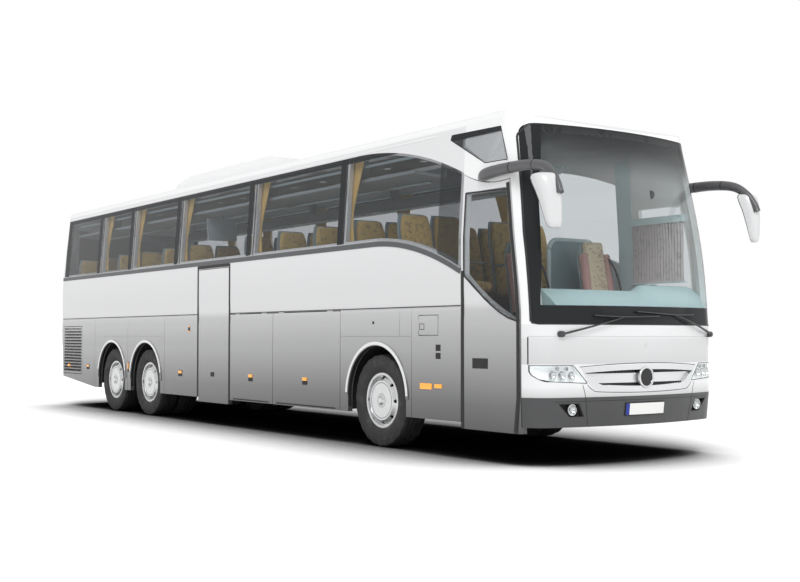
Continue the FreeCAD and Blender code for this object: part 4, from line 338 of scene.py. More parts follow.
# ---------------------------------------------------------------- shapes
@dataclass(frozen=True)
class BodyForm:
    """Outer form of the body, as functions of place."""

    front_y: float = -6.340
    length: float = 12.980
    half: float = 1.275
    belt_z: float = 2.180
    glass_top_z: float = 3.240
    tumble_in: float = 0.074
    cant_z: float = 3.300
    roof_top: float = 3.425
    edge_in: float = 0.110
    edge_rise: float = 0.092
    nose_bow: float = 4.0
    nose_corner: float = 0.350
    tail_bow: float = 6.0
    tail_corner: float = 0.250
    crease_z: float = 0.638
    low_z: float = 0.260
    screen_foot: float = 1.317
    screen_top: float = 3.225
    screen_lean: float = 0.300
    tuck: float = 0.045
    tail_tuck: float = 0.090
    tail_lean: float = 0.150
    spare: float = 0.003

    def y(self, s: Any) -> Any:
        """y of a station."""
        return self.front_y + s

    def half_width(self, z: Any) -> Array:
        """Half the width at a height: upright to the belt, then leaning in linearly."""
        lean = self.tumble_in / (self.glass_top_z - self.belt_z)
        return self.half - np.maximum(0.0, np.asarray(z) - self.belt_z) * lean

    def nose_lean(self, z: Any) -> Array:
        """How far the nose stands back at a height: tucked in below the crease, leaning by the power 1.5 above."""
        z = np.asarray(z, float)
        low = self.tuck * np.maximum(0.0, self.crease_z - z) / (self.crease_z - self.low_z)
        rise = np.maximum(0.0, z - self.screen_foot) / (self.screen_top - self.screen_foot)
        return low + self.screen_lean * rise ** 1.5

    def tail_lean_at(self, z: Any) -> Array:
        """How far the tail stands forward at a height: linear below the window line, by the square above."""
        z = np.asarray(z, float)
        low = self.tail_tuck * np.maximum(0.0, self.screen_foot - z) / (self.screen_foot - self.low_z)
        rise = np.maximum(0.0, z - self.screen_foot) / (self.screen_top - self.screen_foot)
        return low + self.tail_lean * rise ** 2

    def bowed(self, run: Any, z: Any, bow: float, corner: float) -> tuple[Array, Array, Array]:
        """Plan of a bowed end: an arc of radius bow, then a corner arc, then the straight side.

        Args:
            run: signed distance along the plan from the middle.
            z: height.
            bow: radius of the middle.
            corner: radius of the corners.

        Returns:
            x, depth behind the end's middle, and the angle of the outward normal from the end's own.
        """
        run, half = np.broadcast_arrays(np.asarray(run, float), self.half_width(z) + self.spare)
        reach = half - corner
        drop = bow - np.sqrt((bow - corner) ** 2 - reach ** 2)
        join = np.arcsin(reach / (bow - corner))
        first = join * bow
        second = first + (QUARTER - join) * corner
        along = np.abs(run)
        turn = np.where(along < first, along / bow, np.minimum(join + (along - first) / corner, QUARTER))
        x = np.where(along < first, bow * np.sin(turn), reach + corner * np.sin(turn))
        depth = np.where(along < first, bow * (1 - np.cos(turn)), drop - corner * np.cos(turn))
        depth = depth + np.maximum(0.0, along - second)
        return np.sign(run) * x, depth, np.sign(run) * turn

    def nose(self, run: Any, z: Any, out: float = 0.0) -> Array:
        """Points of the nose at a distance along its plan and a height, moved out by some metres."""
        x, depth, turn = self.bowed(run, z, self.nose_bow, self.nose_corner)
        z = np.broadcast_to(np.asarray(z, float), x.shape)
        s = self.nose_lean(z) + depth - out * np.cos(turn)
        return np.stack([x + out * np.sin(turn), self.y(s), z], -1)

    def nose_at(self, x: Any, z: Any, out: float = 0.0) -> Array:
        """Points of the nose at an x and a height, moved out by some metres."""
        return self.nose(self.run_at(x, z, self.nose_bow, self.nose_corner), z, out)

    def tail_at(self, x: Any, z: Any, out: float = 0.0) -> Array:
        """Points of the tail at an x and a height, moved out by some metres."""
        run = self.run_at(x, z, self.tail_bow, self.tail_corner)
        x, depth, turn = self.bowed(run, z, self.tail_bow, self.tail_corner)
        z = np.broadcast_to(np.asarray(z, float), x.shape)
        s = self.length - self.tail_lean_at(z) - depth + out * np.cos(turn)
        return np.stack([x + out * np.sin(turn), self.y(s), z], -1)

    def run_at(self, x: Any, z: Any, bow: float, corner: float) -> Array:
        """Distance along a bowed end's plan at which it reaches an x."""
        x, half = np.broadcast_arrays(np.asarray(x, float), self.half_width(z) + self.spare)
        reach = half - corner
        join = np.arcsin(reach / (bow - corner))
        far = np.abs(x)
        first = bow * np.sin(join)
        inner = bow * np.arcsin(np.minimum(far, first) / bow)
        outer = corner * (np.arcsin(np.clip((np.maximum(far, first) - reach) / corner, -1, 1)) - join)
        return np.sign(x) * (inner + np.maximum(0.0, outer))

    def side_at(self, s: Any, z: Any, sign: float, out: float = 0.0) -> Array:
        """Points of a side wall at a station and a height, moved out by some metres."""
        s, z = np.broadcast_arrays(np.asarray(s, float), np.asarray(z, float))
        return np.stack([sign * (self.half_width(z) + out), self.y(s), z], -1)

    def roof_at(self, x: Any, s: Any, out: float = 0.0) -> Array:
        """Points of the crowned roof at an x and a station: a shallow arc from cant rail to cant rail."""
        x, s = np.broadcast_arrays(np.asarray(x, float), np.asarray(s, float))
        edge_x = float(self.half_width(self.cant_z)) - self.edge_in
        rise = self.roof_top - self.cant_z - self.edge_rise
        radius = (edge_x ** 2 + rise ** 2) / (2 * rise)
        z = self.roof_top - radius + np.sqrt(radius ** 2 - x ** 2) + out
        return np.stack([x, self.y(s), z], -1)


FORM = BodyForm()


class Shape:
    """Vertices and faces gathered for one piece."""

    def __init__(self) -> None:
        """Start with nothing."""
        self.points: list[Array] = []
        self.faces: list[list[int]] = []
        self.count = 0

    def patch(self, grid: Array, wrap: bool = False, ends: bool = False) -> "Shape":
        """Add a grid of points as a surface.

        Args:
            grid: rows of points, shape (rows, columns, 3).
            wrap: close each row on itself.
            ends: close the first and last row with a fan to their middle.

        Returns:
            This shape.
        """
        rows, columns = grid.shape[:2]
        index = self.count + np.arange(rows * columns).reshape(rows, columns)
        side = np.concatenate([index, index[:, :1]], 1) if wrap else index
        quads = np.stack([side[:-1, :-1], side[:-1, 1:], side[1:, 1:], side[1:, :-1]], -1).reshape(-1, 4)
        self.points.append(grid.reshape(-1, 3))
        self.faces += quads.tolist()
        self.count += rows * columns
        if ends:
            for ring, row in ((side[0], grid[0]), (side[-1], grid[-1])):
                self.points.append(row.mean(0)[None])
                self.faces += np.stack([ring[:-1], ring[1:], np.full(len(ring) - 1, self.count)], -1).tolist()
                self.count += 1
        return self

    def slab(self, outer: Array, inner: Array) -> "Shape":
        """Add a closed plate between two grids of the same shape, joined round their rim."""
        rim = [np.concatenate([g[0, :-1], g[:-1, -1], g[-1, :0:-1], g[:0:-1, 0]]) for g in (outer, inner)]
        self.patch(outer)
        self.patch(inner)
        return self.patch(np.stack(rim), wrap=True)

    def lathe(self, profile: Any, centre: Sequence[float], axis: Sequence[float], steps: int = 48, wave: Any = 0.0,
              closed: bool = False) -> "Shape":
        """Add a profile turned about an axis: (along, radius) points swept round in equal angles.

        Args:
            profile: (along, radius) points.
            centre: a point of the axis.
            axis: its direction.
            steps: points round it.
            wave: added to the radius, shape (profile points, steps).
            closed: join the profile's last point to its first, as for a tyre.

        Returns:
            This shape.
        """
        along = np.asarray(axis, float) / np.linalg.norm(axis)
        first = np.cross(along, (0.0, 0.0, 1.0) if abs(along[2]) < 0.9 else (1.0, 0.0, 0.0))
        first /= np.linalg.norm(first)
        turn = np.linspace(0, 2 * math.pi, steps, endpoint=False)
        ring = np.cos(turn)[:, None] * first + np.sin(turn)[:, None] * np.cross(along, first)
        profile = np.asarray(profile, float)
        radius = (profile[:, 1:] + wave)[..., None]
        grid = np.asarray(centre) + profile[:, :1, None] * along + radius * ring
        if closed:
            return self.patch(np.concatenate([grid, grid[:1]]), wrap=True)
        return self.patch(grid, wrap=True, ends=True)

    def ribbon(self, skin: Callable[..., Array], path: Array, width: float, out: float, sink: float = 0.001,
               closed: bool = False) -> "Shape":
        """Add a flat bar that follows a path on a skin: a chamfered section set square across the path.

        Args:
            skin: points of the surface for (across, up, out).
            path: (across, up) points of its middle.
            width: its width.
            out: how proud it stands.
            sink: how deep its back lies.
            closed: the path's end meets its start.

        Returns:
            This shape.
        """
        path = np.asarray(path, float)
        run = (np.roll(path, -1, 0) - np.roll(path, 1, 0)) if closed else np.gradient(path, axis=0)
        run /= np.linalg.norm(run, axis=1, keepdims=True)
        across = np.stack([-run[:, 1], run[:, 0]], -1) * width / 2
        ease = 0.25 * min(width, out + sink)
        inner = 1 - 2 * ease / width
        section = ((1, -sink), (1, out - ease), (inner, out), (-inner, out), (-1, out - ease), (-1, -sink), (1, -sink))
        start = self.count
        self.patch(np.stack([skin(*(path + share * across).T, rise) for share, rise in section]), wrap=closed)
        if not closed:
            for column in (0, len(path) - 1):
                self.faces.append([start + column + len(path) * k for k in range(6)])
        return self

    def plate(self, skin: Callable[..., Array], rect: Sequence[float], out: float, sink: float = 0.001) -> "Shape":
        """Add a plate that lies on a skin within (across from, across to, up from, up to)."""
        columns = max(2, int((rect[1] - rect[0]) / 0.04))
        x, z = np.meshgrid(np.linspace(rect[0], rect[1], columns), np.linspace(rect[2], rect[3], 3))
        return self.slab(skin(x, z, out), skin(x, z, -sink))

    def bar(self, edges: Sequence[Array]) -> "Shape":
        """Add a closed bar from the points of its long edges."""
        return self.patch(np.stack(edges, 1), wrap=True, ends=True)

    def join(self, other: "Shape") -> "Shape":
        """Add all of another shape."""
        self.points += other.points
        self.faces += [[index + self.count for index in face] for face in other.faces]
        self.count += other.count
        return self

    def tube(self, path: Array, radius: Any, sides: int = 12, flat: float = 1.0) -> "Shape":
        """Add a round or oval bar along a path: a ring in the plane across each point's tangent.

        Args:
            path: points of its centreline.
            radius: its radius, one number or one for each point.
            sides: points round it.
            flat: its height over its width.

        Returns:
            This shape.
        """
        path = np.asarray(path, float)
        tangent = np.gradient(path, axis=0)
        tangent /= np.linalg.norm(tangent, axis=1, keepdims=True)
        across = np.cross(tangent, (0.0, 0.0, 1.0))
        weak = np.linalg.norm(across, axis=1) < 0.2
        across[weak] = np.cross(tangent[weak], (0.0, 1.0, 0.0))
        across /= np.linalg.norm(across, axis=1, keepdims=True)
        upward = np.cross(across, tangent) * flat
        turn = np.linspace(0, 2 * math.pi, sides, endpoint=False)[None, :, None]
        radius = np.broadcast_to(np.asarray(radius, float), len(path))[:, None, None]
        grid = path[:, None] + radius * (np.cos(turn) * across[:, None] + np.sin(turn) * upward[:, None])
        return self.patch(grid, wrap=True, ends=True)

    def loft(self, low: Sequence[float], high: Sequence[float], round_off: float = 0.01, steps: int = 4) -> "Shape":
        """Add a block with rounded upright edges and eased top and bottom.

        Args:
            low: its lowest corner.
            high: its highest corner.
            round_off: radius of its edges.
            steps: points in each corner.

        Returns:
            This shape.
        """
        low, high = np.asarray(low, float), np.asarray(high, float)
        round_off = min(round_off, *(0.49 * (high - low)))
        turn = np.linspace(0, QUARTER, steps)
        corner = np.concatenate([turn + q * QUARTER for q in range(4)])
        sign = np.array([(1, 1), (-1, 1), (-1, -1), (1, -1)]).repeat(steps, 0)
        half, centre = (high - low) / 2, (high + low) / 2
        rings = []
        for ease, z in ((1.0, low[2]), (0.3, low[2] + 0.3 * round_off), (0.0, low[2] + round_off),
                        (0.0, high[2] - round_off), (0.3, high[2] - 0.3 * round_off), (1.0, high[2])):
            core = sign * (half[:2] - round_off)
            ring = core + round_off * (1 - ease) * np.stack([np.cos(corner), np.sin(corner)], -1)
            rings.append(np.column_stack([ring + centre[:2], np.full(len(ring), z)]))
        return self.patch(np.stack(rings), wrap=True, ends=True)

    def piece(self, name: str, finish: Finish, body: str = BODY, smooth: float = 35.0,
              replaces: Sequence[str] = ()) -> bpy.types.Object:
        """Make the mesh, dress it and let it ride.

        Args:
            name: the piece's name.
            finish: its material.
            body: the body it moves with.
            smooth: sharpest angle in degrees that is still shaded round.
            replaces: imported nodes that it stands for.

        Returns:
            The new object.
        """
        mesh = bpy.data.meshes.new(name)
        mesh.from_pydata(np.concatenate(self.points), [], self.faces)
        tidy_mesh(mesh)
        mesh.materials.append(finish.material())
        mesh.polygons.foreach_set("use_smooth", np.ones(len(mesh.polygons), bool))
        mesh.set_sharp_from_angle(angle=math.radians(smooth))
        thing = bpy.data.objects.new(name, mesh)
        bpy.context.scene.collection.objects.link(thing)
        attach(thing, body)
        if replaces:
            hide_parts(*replaces)
        LOG.info("%s: %d faces on %s", name, len(mesh.polygons), body)
        return thing


def tidy_mesh(mesh: bpy.types.Mesh) -> None:
    """Merge doubles and turn every face outwards."""
    work = bmesh.new()
    work.from_mesh(mesh)
    bmesh.ops.remove_doubles(work, verts=work.verts, dist=1e-6)
    bmesh.ops.dissolve_degenerate(work, edges=work.edges, dist=1e-7)
    bmesh.ops.recalc_face_normals(work, faces=work.faces)
    work.to_mesh(mesh)
    work.free()


def rows(outline: Corners, steps: int, columns: int) -> tuple[Array, Array]:
    """Fill an outline with level rows: each row runs from its left-most to its right-most crossing.

    Args:
        outline: corners (across, up) in order.
        steps: rows.
        columns: points in a row.

    Returns:
        Two grids, of the across and up values.
    """
    corners = np.asarray(outline, float)
    following = np.roll(corners, -1, 0)
    low, high = corners[:, 1].min(), corners[:, 1].max()
    ease = 1e-5 * (high - low)
    levels = np.concatenate([np.linspace(low, high, steps), corners[:, 1]])
    heights = np.unique(np.clip(levels, low + ease, high - ease))
    rise = following[:, 1] - corners[:, 1]
    share = (heights[:, None] - corners[:, 1]) / np.where(rise == 0, 1.0, rise)
    cross = corners[:, 0] + share * (following[:, 0] - corners[:, 0])
    hit = (rise != 0) & (share >= 0) & (share <= 1)
    left = np.where(hit, cross, np.inf).min(1)
    right = np.where(hit, cross, -np.inf).max(1)
    part = np.linspace(0, 1, columns)
    return left[:, None] + (right - left)[:, None] * part, np.repeat(heights[:, None], columns, 1)


def along(points: Sequence[Sequence[float]], steps: int) -> Array:
    """Points evenly spaced on a smooth curve through the given ones, a Catmull-Rom spline."""
    knots = np.asarray(points, float)
    knots = np.concatenate([2 * knots[:1] - knots[1:2], knots, 2 * knots[-1:] - knots[-2:-1]])
    at = np.linspace(0, len(points) - 1 - 1e-9, steps)
    i = at.astype(int)
    t = (at - i)[:, None]
    a, b, c, d = (knots[i + k] for k in range(4))
    return 0.5 * (2 * b + (c - a) * t + (2 * a - 5 * b + 4 * c - d) * t ** 2 + (3 * b - a - 3 * c + d) * t ** 3)


# ---------------------------------------------------------------- finishes
SILVER = GradedPaint("silver_paint", (0.8, 0.8, 0.8), roughness=0.30, metallic=0.25, coat=0.5, mottle=0.03,
                     grain=0.00002)
WHITE = Finish("white_paint", (0.86, 0.865, 0.87), roughness=0.32, coat=0.4, mottle=0.02, grain=0.00002)
SKIRT = Finish("skirt_plastic", (0.060, 0.061, 0.063), roughness=0.42, mottle=0.15, grain=0.00008)
TRIM = Finish("bright_trim", (0.70, 0.71, 0.72), roughness=0.24, metallic=0.7, mottle=0.04)
# Painted light and shade on the nose by height: lighter from 0.74 to 0.94 and above 1.2, darker below 0.66 and from
# 0.95 to 1.18.
NOSE_PAINT = replace(SILVER, name="nose_paint", made={}, stops=(
    (0.58, 0.34), (0.66, 0.60), (0.74, 0.78), (0.94, 0.78), (0.95, 0.58), (1.18, 0.68), (1.20, 0.77), (1.40, 0.80)))
CHASSIS = Finish("chassis_paint", (0.022, 0.022, 0.024), roughness=0.6, mottle=0.4, mottle_scale=6.0)
LINER = Finish("liner_plastic", (0.012, 0.012, 0.012), roughness=0.8, mottle=0.4)
IRON = Finish("cast_iron", (0.10, 0.10, 0.105), roughness=0.65, metallic=0.4, mottle=0.3, mottle_scale=14.0,
              grain=0.0004, grain_scale=220.0)
WHEEL = Finish("polished_wheel", (0.66, 0.665, 0.67), roughness=0.24, metallic=0.85, mottle=0.05, mottle_scale=8.0)
RUBBER = Tyre("tyre_rubber", (0.030, 0.030, 0.031), roughness=0.8, grain=0.0002)
SEAL = Finish("rubber_seal", (0.016, 0.016, 0.017), roughness=0.55, mottle=0.3, mottle_scale=10.0)
BELT = Finish("belt_moulding", (0.075, 0.078, 0.085), roughness=0.35, coat=0.2, mottle=0.1)
DECK = Ribbed("ribbed_floor", (0.09, 0.09, 0.095), roughness=0.7, rib_scale=12.0)
DASH = Finish("dash_plastic", (0.42, 0.55, 0.57), roughness=0.6, mottle=0.06, grain=0.0003, grain_scale=420.0)
RACK = Finish("rack_plastic", (0.42, 0.46, 0.48), roughness=0.55, mottle=0.08)
PASSENGER = Cloth("passenger_weave", (0.60, 0.42, 0.15), roughness=0.95, sheen=0.3, second=(0.42, 0.30, 0.13),
                  third=(0.18, 0.14, 0.08))
CREW = Cloth("crew_weave", (0.78, 0.66, 0.48), roughness=0.95, sheen=0.3, figure_scale=9.0,
             second=(0.66, 0.50, 0.38), third=(0.26, 0.15, 0.10))
CURTAIN = Cloth("curtain_weave", (0.92, 0.66, 0.27), roughness=0.95, sheen=0.4, second=(0.88, 0.63, 0.25),
                third=(0.86, 0.60, 0.23), thread=900.0)
# The glow of these three finishes is painted light; the reflectors and headlamp trays wear it too.
AMBER = Glow("amber_lens", (0.98, 0.38, 0.02), roughness=0.2, coat=0.6, shine=0.32)
RED = Glow("red_lens", (0.45, 0.012, 0.01), roughness=0.2, coat=0.7, shine=0.08)
LAMP = Glow("lamp_bowl", (0.90, 0.92, 0.93), roughness=0.15, shine=0.22)
SOFT_BLACK = Finish("soft_black", (0.02, 0.02, 0.02), roughness=0.7, mottle=0.2)
TRIM_DULL = Finish("belt_bead", (0.22, 0.225, 0.235), roughness=0.35, coat=0.2, mottle=0.05)
LIP = Finish("arch_lip", (0.80, 0.805, 0.81), roughness=0.35, coat=0.4, mottle=0.03)
MESH = Finish("grille_mesh", (0.015, 0.015, 0.016), roughness=0.6, grain=0.004, grain_scale=160.0)
PLATE_WHITE = Finish("plate_white", (0.86, 0.86, 0.84), roughness=0.45, mottle=0.04)
PLATE_BLUE = Finish("plate_blue", (0.01, 0.03, 0.30), roughness=0.45, mottle=0.05)
MIRROR_SHELL = Finish("mirror_shell", (0.66, 0.665, 0.67), roughness=0.3, coat=0.4, mottle=0.03)
MIRROR_FACE = Finish("mirror_face", (0.88, 0.9, 0.91), roughness=0.02, metallic=1.0, mottle=0.0, grain=0.0)
WIPER_GREY = Finish("wiper_metal", (0.06, 0.06, 0.062), roughness=0.45, metallic=0.2, mottle=0.2)
SHELL_GREY = Finish("seat_shell", (0.27, 0.36, 0.39), roughness=0.55, mottle=0.06)
CREW_SIDE = Cloth("crew_side_weave", (0.60, 0.34, 0.32), roughness=0.95, sheen=0.3, second=(0.57, 0.32, 0.30),
                  third=(0.54, 0.30, 0.28))
RAIL = Finish("pale_trim", (0.60, 0.71, 0.74), roughness=0.5, mottle=0.04)
BLIND = Cloth("blind_weave", (0.50, 0.45, 0.46), roughness=0.95, second=(0.40, 0.38, 0.38), third=(0.38, 0.36, 0.36))
MONITOR = Finish("monitor_case", (0.40, 0.47, 0.49), roughness=0.5, mottle=0.05)
SCREEN_DARK = Finish("monitor_face", (0.03, 0.035, 0.04), roughness=0.12, coat=0.3, mottle=0.05)
MIRROR_ARM = Finish("mirror_arm", (0.09, 0.09, 0.095), roughness=0.4, coat=0.2, mottle=0.1)


def screen_border(tree: Tree) -> Socket:
    """Painted border of the windscreen: foot, sides and the shaded top."""
    z = tree.axis("Z")
    foot = tree.maths("LESS_THAN", z, 1.492)
    width = tree.maths("SUBTRACT", 1.345, tree.maths("MULTIPLY", z, 0.0698))
    reach = tree.maths("MINIMUM", tree.maths("SUBTRACT", width, 0.045), 1.165)
    pillar = tree.maths("ADD", 0.005, tree.maths("MULTIPLY", tree.step(z, 1.5, 2.0), 0.03),
                        tree.maths("MULTIPLY", tree.step(z, 2.45, 3.1), 0.06))
    narrow = tree.maths("SUBTRACT", tree.maths("MINIMUM", reach, 1.160), pillar)
    sides = tree.maths("MAXIMUM", tree.maths("GREATER_THAN", tree.axis("X"), reach),
                       tree.maths("LESS_THAN", tree.axis("X"), tree.maths("MULTIPLY", narrow, -1.0)))
    shade = tree.maths("MULTIPLY", tree.step(z, 2.72, 3.22), 0.9)
    return tree.maths("MAXIMUM", foot, sides, shade)


def window_bands(tree: Tree) -> Socket:
    """Black painted bands of the side glass: behind each joint, along the top and at both ends."""
    station = tree.maths("SUBTRACT", tree.axis("Y"), FORM.front_y)
    cover = tree.maths("MULTIPLY", tree.maths("GREATER_THAN", tree.axis("Z"), 3.175), 0.8)
    door_post = tree.maths("MULTIPLY", tree.maths("LESS_THAN", tree.axis("X"), 0.0), 0.4)
    for front, back, depth in ((1.3, 1.64, door_post), (3.443, 3.553, 1.0), (5.666, 5.776, 1.0), (7.897, 8.007, 1.0),
                               (9.629, 9.739, 1.0), (10.956, 11.066, 1.0), (12.40, 12.70, 1.0)):
        behind, ahead = tree.maths("GREATER_THAN", station, front), tree.maths("LESS_THAN", station, back)
        cover = tree.maths("MAXIMUM", cover, tree.maths("MULTIPLY", behind, ahead, depth))
    return cover


CLEAR = Pane("clear_glass", (0.965, 0.985, 0.985), roughness=0.01, border=screen_border)
TINTED = Pane("tinted_glass", (0.76, 0.77, 0.78), roughness=0.01, border=window_bands)
SMOKED = Pane("smoked_glass", (0.25, 0.26, 0.27), roughness=0.01, opacity=0.35)
LENS = Pane("lens_glass", (0.97, 0.98, 0.98), roughness=0.02)

NODE_FINISHES: dict[str, Finish] = {
    "roof_shell": WHITE, "nose_cap": WHITE, "roof_unit": WHITE, "front_skirt": SKIRT, "rear_bumper": SKIRT,
    "front_grille": TRIM, "front_panel": NOSE_PAINT, "front_bumper": NOSE_PAINT, "windscreen": CLEAR,
    "side_glass": TINTED, "front_door_glass": TINTED, "rear_glass": SMOKED,
    "front_lamps": LAMP, "tail_lamps": SOFT_BLACK, "underframe": CHASSIS, "engine_block": IRON, "front_axle": CHASSIS,
    "rear_axles": CHASSIS, "wheel_liners": LINER, "floor_deck": DECK, "platform_and_steps": DECK, "dashboard": DASH,
    "crew_seats": CREW, "passenger_seats": PASSENGER, "luggage_racks": RACK, "curtains": CURTAIN, "mirrors": MIRROR_ARM,
    "wipers": SOFT_BLACK, "marker_lamps": AMBER, "steering_wheel": SOFT_BLACK, "knuckle_right": IRON,
    "knuckle_left": IRON, "front_door_arm": CHASSIS, "mid_door_arm": CHASSIS}


def dress_nodes(nodes: dict[str, bpy.types.Object]) -> None:
    """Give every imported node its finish; panels that aren't named get the silver paint."""
    for name, node in nodes.items():
        if name.endswith(("_rim_right", "_rim_left")):
            finish: Finish = WHEEL
        elif name.endswith(("_tyre_right", "_tyre_left")):
            finish = RUBBER
        else:
            finish = NODE_FINISHES.get(name, SILVER)
        node.data.materials.clear()
        node.data.materials.append(finish.material())


# ---------------------------------------------------------------- studio
@dataclass
class Studio:
    """Camera, lamps, pale floor and white surroundings."""

    camera_at: Colour = (-8.448, -14.148, 1.206)
    yaw_deg: float = 35.39
    pitch_deg: float = 2.21
    lens_mm: float = 52.6
    sun_strength: float = 1.5
    sky_strength: float = 0.75

    def camera(self) -> None:
        """Camera of the photograph's view."""
        data = bpy.data.cameras.new("camera")
        data.lens, data.sensor_width = self.lens_mm, 36.0
        data.clip_end = 400.0
        thing = bpy.data.objects.new("camera", data)
        thing.location = self.camera_at
        thing.rotation_euler = (math.radians(90.0 + self.pitch_deg), 0.0, -math.radians(self.yaw_deg))
        bpy.context.scene.collection.objects.link(thing)
        bpy.context.scene.camera = thing

    def floor(self) -> None:
        """White floor with a painted shadow, black where the coach covers the sky, and plain white to the camera
        beyond.
        """
        tree = Tree("floor")
        # Painted shadow: ambient occlusion darkens the floor's colour and its white lift under the coach.
        cover = tree.add("ShaderNodeAmbientOcclusion", {"Distance": 2.2}).outputs["AO"]
        open_sky = tree.maths("POWER", tree.step(cover, 0.30, 0.88), 1.6)
        shadow_tone = tree.blend(open_sky, (0.01, 0.01, 0.01), (0.93, 0.93, 0.93))
        ground = tree.add("ShaderNodeBsdfDiffuse", {"Color": shadow_tone}).outputs[0]
        strength = tree.maths("MULTIPLY", open_sky, 0.22)
        lift = tree.add("ShaderNodeEmission", {"Color": (1, 1, 1, 1), "Strength": strength}).outputs[0]
        path = tree.add("ShaderNodeLightPath")
        seen = tree.maths("MAXIMUM", *(path.outputs[f"Is {kind} Ray"] for kind in ("Camera", "Glossy", "Transmission")))
        lifted = tree.add("ShaderNodeAddShader", {0: ground, 1: lift}).outputs[0]
        shader = tree.add("ShaderNodeMixShader", {0: seen, 1: ground, 2: lifted}).outputs[0]
        mesh = bpy.data.meshes.new("floor")
        reach = 120.0
        corners = [(-reach, -reach, 0), (reach, -reach, 0), (reach, reach, 0), (-reach, reach, 0)]
        mesh.from_pydata(corners, [], [(0, 1, 2, 3)])
        mesh.materials.append(tree.close(shader))
        thing = bpy.data.objects.new("floor", mesh)
        bpy.context.scene.collection.objects.link(thing)

    def light(self) -> None:
        """Even white sky and one broad soft sun from ahead, above and the door side."""
        world = bpy.data.worlds.new("sky")
        world.use_nodes = True
        tree = world.node_tree
        back = tree.nodes["Background"]
        path = tree.nodes.new("ShaderNodeLightPath")
        mix = tree.nodes.new("ShaderNodeMapRange")
        most = tree.nodes.new("ShaderNodeMath")
        most.operation = "MAXIMUM"
        tree.links.new(path.outputs["Is Camera Ray"], most.inputs[0])
        tree.links.new(path.outputs["Is Transmission Ray"], most.inputs[1])
        tree.links.new(most.outputs[0], mix.inputs["Value"])
        mix.inputs["To Min"].default_value, mix.inputs["To Max"].default_value = self.sky_strength, 1.0
        tree.links.new(mix.outputs[0], back.inputs["Strength"])
        back.inputs["Color"].default_value = (1, 1, 1, 1)
        bpy.context.scene.world = world
        for name, angle, strength, turn in (("key", 25.0, self.sun_strength, (48.0, 0.0, -38.0)),
                                            ("fill", 60.0, 0.35, (60.0, 0.0, 50.0))):
            data = bpy.data.lights.new(name, "SUN")
            data.angle, data.energy = math.radians(angle), strength
            thing = bpy.data.objects.new(name, data)
            thing.rotation_euler = tuple(math.radians(t) for t in turn)
            bpy.context.scene.collection.objects.link(thing)

    def build(self) -> None:
        """Make all of it."""
        bpy.context.scene.view_settings.view_transform = "Standard"
        self.camera()
        self.floor()
        self.light()


# ---------------------------------------------------------------- wheels
TYRE_PROFILE = ((0.106, 0.288), (0.106, 0.304), (0.120, 0.316), (0.137, 0.345), (0.1445, 0.378), (0.1472, 0.405),
                (0.1458, 0.424), (0.1474, 0.429), (0.1474, 0.437), (0.1455, 0.442), (0.1440, 0.455), (0.1420, 0.470),
                (0.1385, 0.486), (0.1320, 0.4955), (0.1180, 0.4995), (0.0880, 0.5020), (0.0860, 0.4890),
                (0.0740, 0.4890), (0.0720, 0.5035), (0.0330, 0.5045), (0.0310, 0.4900), (0.0190, 0.4900),
                (0.0170, 0.5050))


@dataclass(frozen=True)
class Wheel:
    """A road wheel: its axle, station, side and whether it is twinned."""

    axle: str
    s: float
    side: Side
    twin: bool = False
    centre_x: float = 1.0775
    twin_step: float = 0.330
    radius: float = 0.505
    steps: int = 96

    @property
    def label(self) -> str:
        """Axle and side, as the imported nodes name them."""
        return f"{self.axle}_{{}}_{self.side.label}"

    @property
    def body(self) -> str:
        """Body that turns."""
        return self.label.format("wheel")

    def centre(self, step: int = 0) -> tuple[float, float, float]:
        """Middle of the outer tyre, or of the inner one of a pair."""
        return (self.side.value * (self.centre_x - step * self.twin_step), FORM.y(self.s), self.radius)

    def tyres(self) -> None:
        """Tyres with ribbed sidewalls, four grooves and notched shoulders."""
        half = np.array(TYRE_PROFILE)
        profile = np.concatenate([half * (-1, 1), half[::-1]])
        notch = (np.arange(self.steps) % 4 >= 2) * 0.006
        shoulder = (np.abs(profile[:, 0]) > 0.115) & (profile[:, 1] > 0.465)
        fine = (np.arange(self.steps) % 2) * 0.003
        ribs = (np.abs(profile[:, 0]) < 0.090) & (profile[:, 1] > 0.50)
        wave = -1.0 * shoulder[:, None] * notch - ribs[:, None] * fine
        shape = Shape()
        for step in range(2 if self.twin else 1):
            shape.lathe(profile, self.centre(step), (1, 0, 0), self.steps, wave=wave, closed=True)
        shape.piece(f"road_tyre{'s' * self.twin}_{self.axle}_{self.side.label}", RUBBER, self.body,
                    replaces=[self.label.format("tyre")])

    def trim(self) -> None:
        """Rolled bright lip, and painted shade: a dark ring behind the slots and dark rings on the disc's grooves, with
        the valve stem.
        """
        face = self.side.value
        middle = self.centre()
        lip = ((0.106, 0.284), (0.117, 0.286), (0.1195, 0.292), (0.1195, 0.297), (0.116, 0.3015), (0.106, 0.3025))
        Shape().lathe(lip, middle, (face, 0, 0), 72, closed=True).piece(
            f"wheel_lip_{self.axle}_{self.side.label}", WHEEL, self.body)
        # Painted shade: a dark ring behind the slots and dark rings laid over the disc's grooves; the valve stem joins
        # the same piece.
        back = ((0.052, 0.200), (0.058, 0.200), (0.058, 0.274), (0.052, 0.274))
        cover = 0.116 if self.twin else 0.126
        dark = Shape().lathe(back, middle, (face, 0, 0), 48, closed=True)
        for inner, outer, steps in ((0.190, 0.196, 72), (0.070, 0.075, 48)):
            groove = ((cover + 0.0002, inner), (cover + 0.0012, inner + 0.001), (cover + 0.0012, outer - 0.001),
                      (cover + 0.0002, outer))
            dark.lathe(groove, middle, (face, 0, 0), steps, closed=True)
        valve = np.array([(face * (0.088 + 0.004 * i), 0.0, 0.268) for i in range(5)]) + middle
        dark.tube(valve, 0.006, 10)
        dark.piece(f"wheel_shade_{self.axle}_{self.side.label}", SEAL, self.body)


def all_wheels() -> list[Wheel]:
    """Every road wheel."""
    return [Wheel(axle, s, side, twin) for axle, s, twin in AXLES for side in Side]


